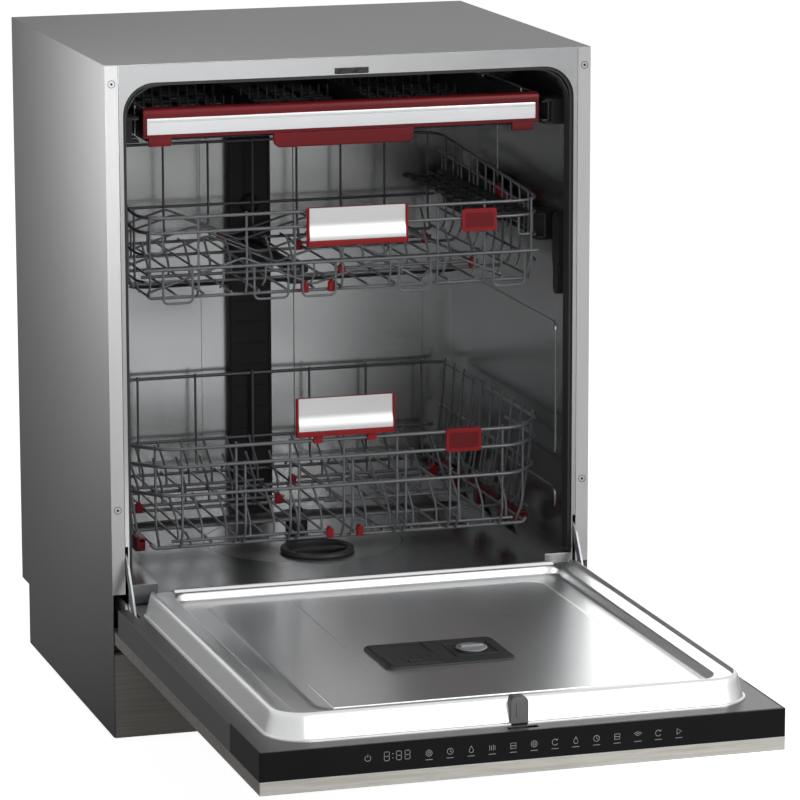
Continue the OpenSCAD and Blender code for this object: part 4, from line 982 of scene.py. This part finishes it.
cup = {
    "y": 161, "foot": 74.3, "grips": 24,
    "wall": ((0, 0), (38, 0), (39, 1), (39, 103.9), (44.6, 103.9), (46, 105), (46, 108), (44.6, 109.6),
             (39.4, 109.7), (37.6, 108.6), (36.2, 106.4), (36, 60), (36, 4), (0, 4)),
    "handle": ((-36.6, 178.4), (36.6, 178.4), (36.6, 181.4), (22, 183.4), (-22, 183.4), (-36.6, 181.4)),
}
y, count = cup["y"], cup["grips"]
bm = bmesh.new()
addTurned(bm, (0, y, cup["foot"]), upward, cup["wall"], 48)
for k in range(count):  # finger grips round the rim
    grip = addBlock(bm, (-1.1, y + 43.6, 178.6), (1.1, y + 46, 183.4), 0.5, 1)
    ops.rotate(bm, cent=at(0, y, 180), matrix=Matrix.Rotation(tau * k / count, 3, "Z"), verts=grip)
addPlate(bm, cup["handle"], "y", y - 2.6, y + 2.6, 0.9)
solidPiece("filter_cup", bm, "graphite_plastic", "filter", "filter_cylinder", sharp=45)

for name in arms:
    sprayArm(name)
print("tub and arms done")

guides = {
    # ribs of the wall brackets: x, y of both brackets, heights of both ribs
    "ribs": ((260.4, (36.5, 244.5), (719.8, 748.2)), (270.4, (88.5, 244.5), (569.8, 604.2))),
    "bumper": ((31.4, 596), (35, 606), (43, 609), (51, 606), (54.6, 596), (54, 556), (52, 530), (49, 511),
               (43, 507.6), (37, 511), (34, 530), (32, 556)),
}


def railGuides(side):
    bm = bmesh.new()
    for x, rows, heights in guides["ribs"]:
        for y, z in [(y, z) for y in rows for z in heights]:
            addBlock(bm, (x - 6, y - 4, z - 1.6), (x + 4, y + 12, z + 1.6), 0.8, 1)
    addPlate(bm, guides["bumper"], "x", 269.8, 276.9, 1.8, 3)
    onSide(bm, side)
    solidPiece("rail_guides_" + sideName[side], bm, "black_plastic", "cabinet")


for side in sideName:
    railGuides(side)

finishes = {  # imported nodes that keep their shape, with the width of their softened edges
    "satin_steel": {"side_panels": 0.25, "top_panel": 0.25},
    "tub_steel": {"tub": 0.4},
    "filter_mesh": {"filter_plate": 0},
    "zinc_steel": {"back_panel": 0, "hinge_brackets": 0.5, "hinge_arms": 0.5},
    "rail_steel": {"tray_rails": 0.3, "basket_rails": 0.3},
    "door_steel": {"door_panel": 0.8},
    "seal_rubber": {"door_seal": 0},
    "decor_wood": {"plinth_panel": 0.5, "decor_panel": 0.7},
    "black_plastic": {"base_tray": 0.5, "sump": 0.5, "pump_set": 0.5, "hose_connectors": 0.5,
                      "feed_duct": 0.5, "rail_brackets": 0.5, "tray_frame": 0.5, "basket_carriers": 0.5},
    "graphite_plastic": {"strike_plate": 0.5},
    "black_gloss": {"control_fascia": 0.7},
    "circuit_board": {"control_board": 0.2},
}
for look, edges in finishes.items():
    for node, edge in edges.items():
        dress(node, look, edge)
print("finishes done")

studio = {
    "camera": (-1465, -4984, 1467), "azimuth": 17.0, "down": 11.6, "roll": -0.12, "lens": 199.2,
    "world": 0.04, "floor": 0.95, "floorGlow": 0.15,
    # lamps: place and aim in metres, size, power, spread
    "key": ((2.0, -2.8, 1.7), (0, 0, 0.4), 1.6, 92.0, 180),
    "front": ((0.2, -3.0, 1.0), (0, 0, 0.6), 1.6, 13.0, 180),
    "near": ((-0.75, -0.35, 0.85), (-0.3, 0.1, 0.78), 0.3, 2.05, 90),
    "top": ((0.2, -0.6, 3.4), (0, -0.2, 0.2), 2.0, 0.6, 180),
    "rear": ((1.4, 3.6, 2.0), (0, 0, 0.4), 2.0, 16.0, 180),
}
bm = bmesh.new()
ops.create_grid(bm, x_segments=1, y_segments=1, size=40)
obj = meshObject("studio_floor", bm)
look = Look("pale floor", Roughness=0.9)
look.set(Base_Color=look.blend(look.grain(1.2), (0.56, 0.56, 0.56), (0.60, 0.60, 0.60)))
paths = look.make("LightPath")
direct = Signal(look, paths.outputs["Is Camera Ray"])
seen = look.math("MAXIMUM", direct, Signal(look, paths.outputs["Is Glossy Ray"]))
glow = look.level(direct, studio["floorGlow"], studio["floor"])
white = look.signal("Emission", {}, {"Color": (1, 1, 1), "Strength": glow})
plain = Signal(look, look.shader.outputs[0])
both = look.signal("AddShader", {}, {0: plain, 1: white})
look.feed(look.out.inputs[0], look.signal("MixShader", {}, {0: seen, 1: plain, 2: both}))
obj.data.materials.append(look.material)
obj.location.z = -0.0005

world = bpy.data.worlds.new("soft room")  # dim for the pieces, white where it is seen or reflected
bpy.context.scene.world = world
room = Tree(world)
paths = room.make("LightPath")
seen = Signal(room, paths.outputs["Is Camera Ray"])
for ray in ("Is Glossy Ray", "Is Transmission Ray"):
    seen = room.math("MAXIMUM", seen, Signal(room, paths.outputs[ray]))
dim, bright = (room.signal("Background", {}, {"Color": (1, 1, 1), "Strength": strength})
               for strength in (studio["world"], 1.0))
room.make("OutputWorld", {}, {0: room.signal("MixShader", {}, {0: seen, 1: dim, 2: bright})})


def aimed(obj, spot, ahead, roll=0.0):
    obj.location = spot
    obj.rotation_mode = "QUATERNION"
    turn = Matrix.Rotation(radians(roll), 3, "Z").to_quaternion()
    obj.rotation_quaternion = Vector(ahead).to_track_quat("-Z", "Y") @ turn


def lamp(name):
    spot, aim, size, power, spread = studio[name]
    light = bpy.data.lights.new(name, "AREA")
    light.size = size
    light.energy = power
    light.spread = radians(spread)
    aimed(inScene(name, light), spot, Vector(aim) - Vector(spot))


for name in ("key", "front", "near", "top", "rear"):
    lamp(name)
camera = bpy.data.cameras.new("camera")
camera.lens = studio["lens"]
turn, tilt = radians(studio["azimuth"]), radians(studio["down"])
ahead = (sin(turn) * cos(tilt), cos(turn) * cos(tilt), -sin(tilt))
obj = inScene("camera", camera)
aimed(obj, at(*studio["camera"]), ahead, studio["roll"])
bpy.context.scene.camera = obj
bpy.context.scene.view_settings.view_transform = "Standard"
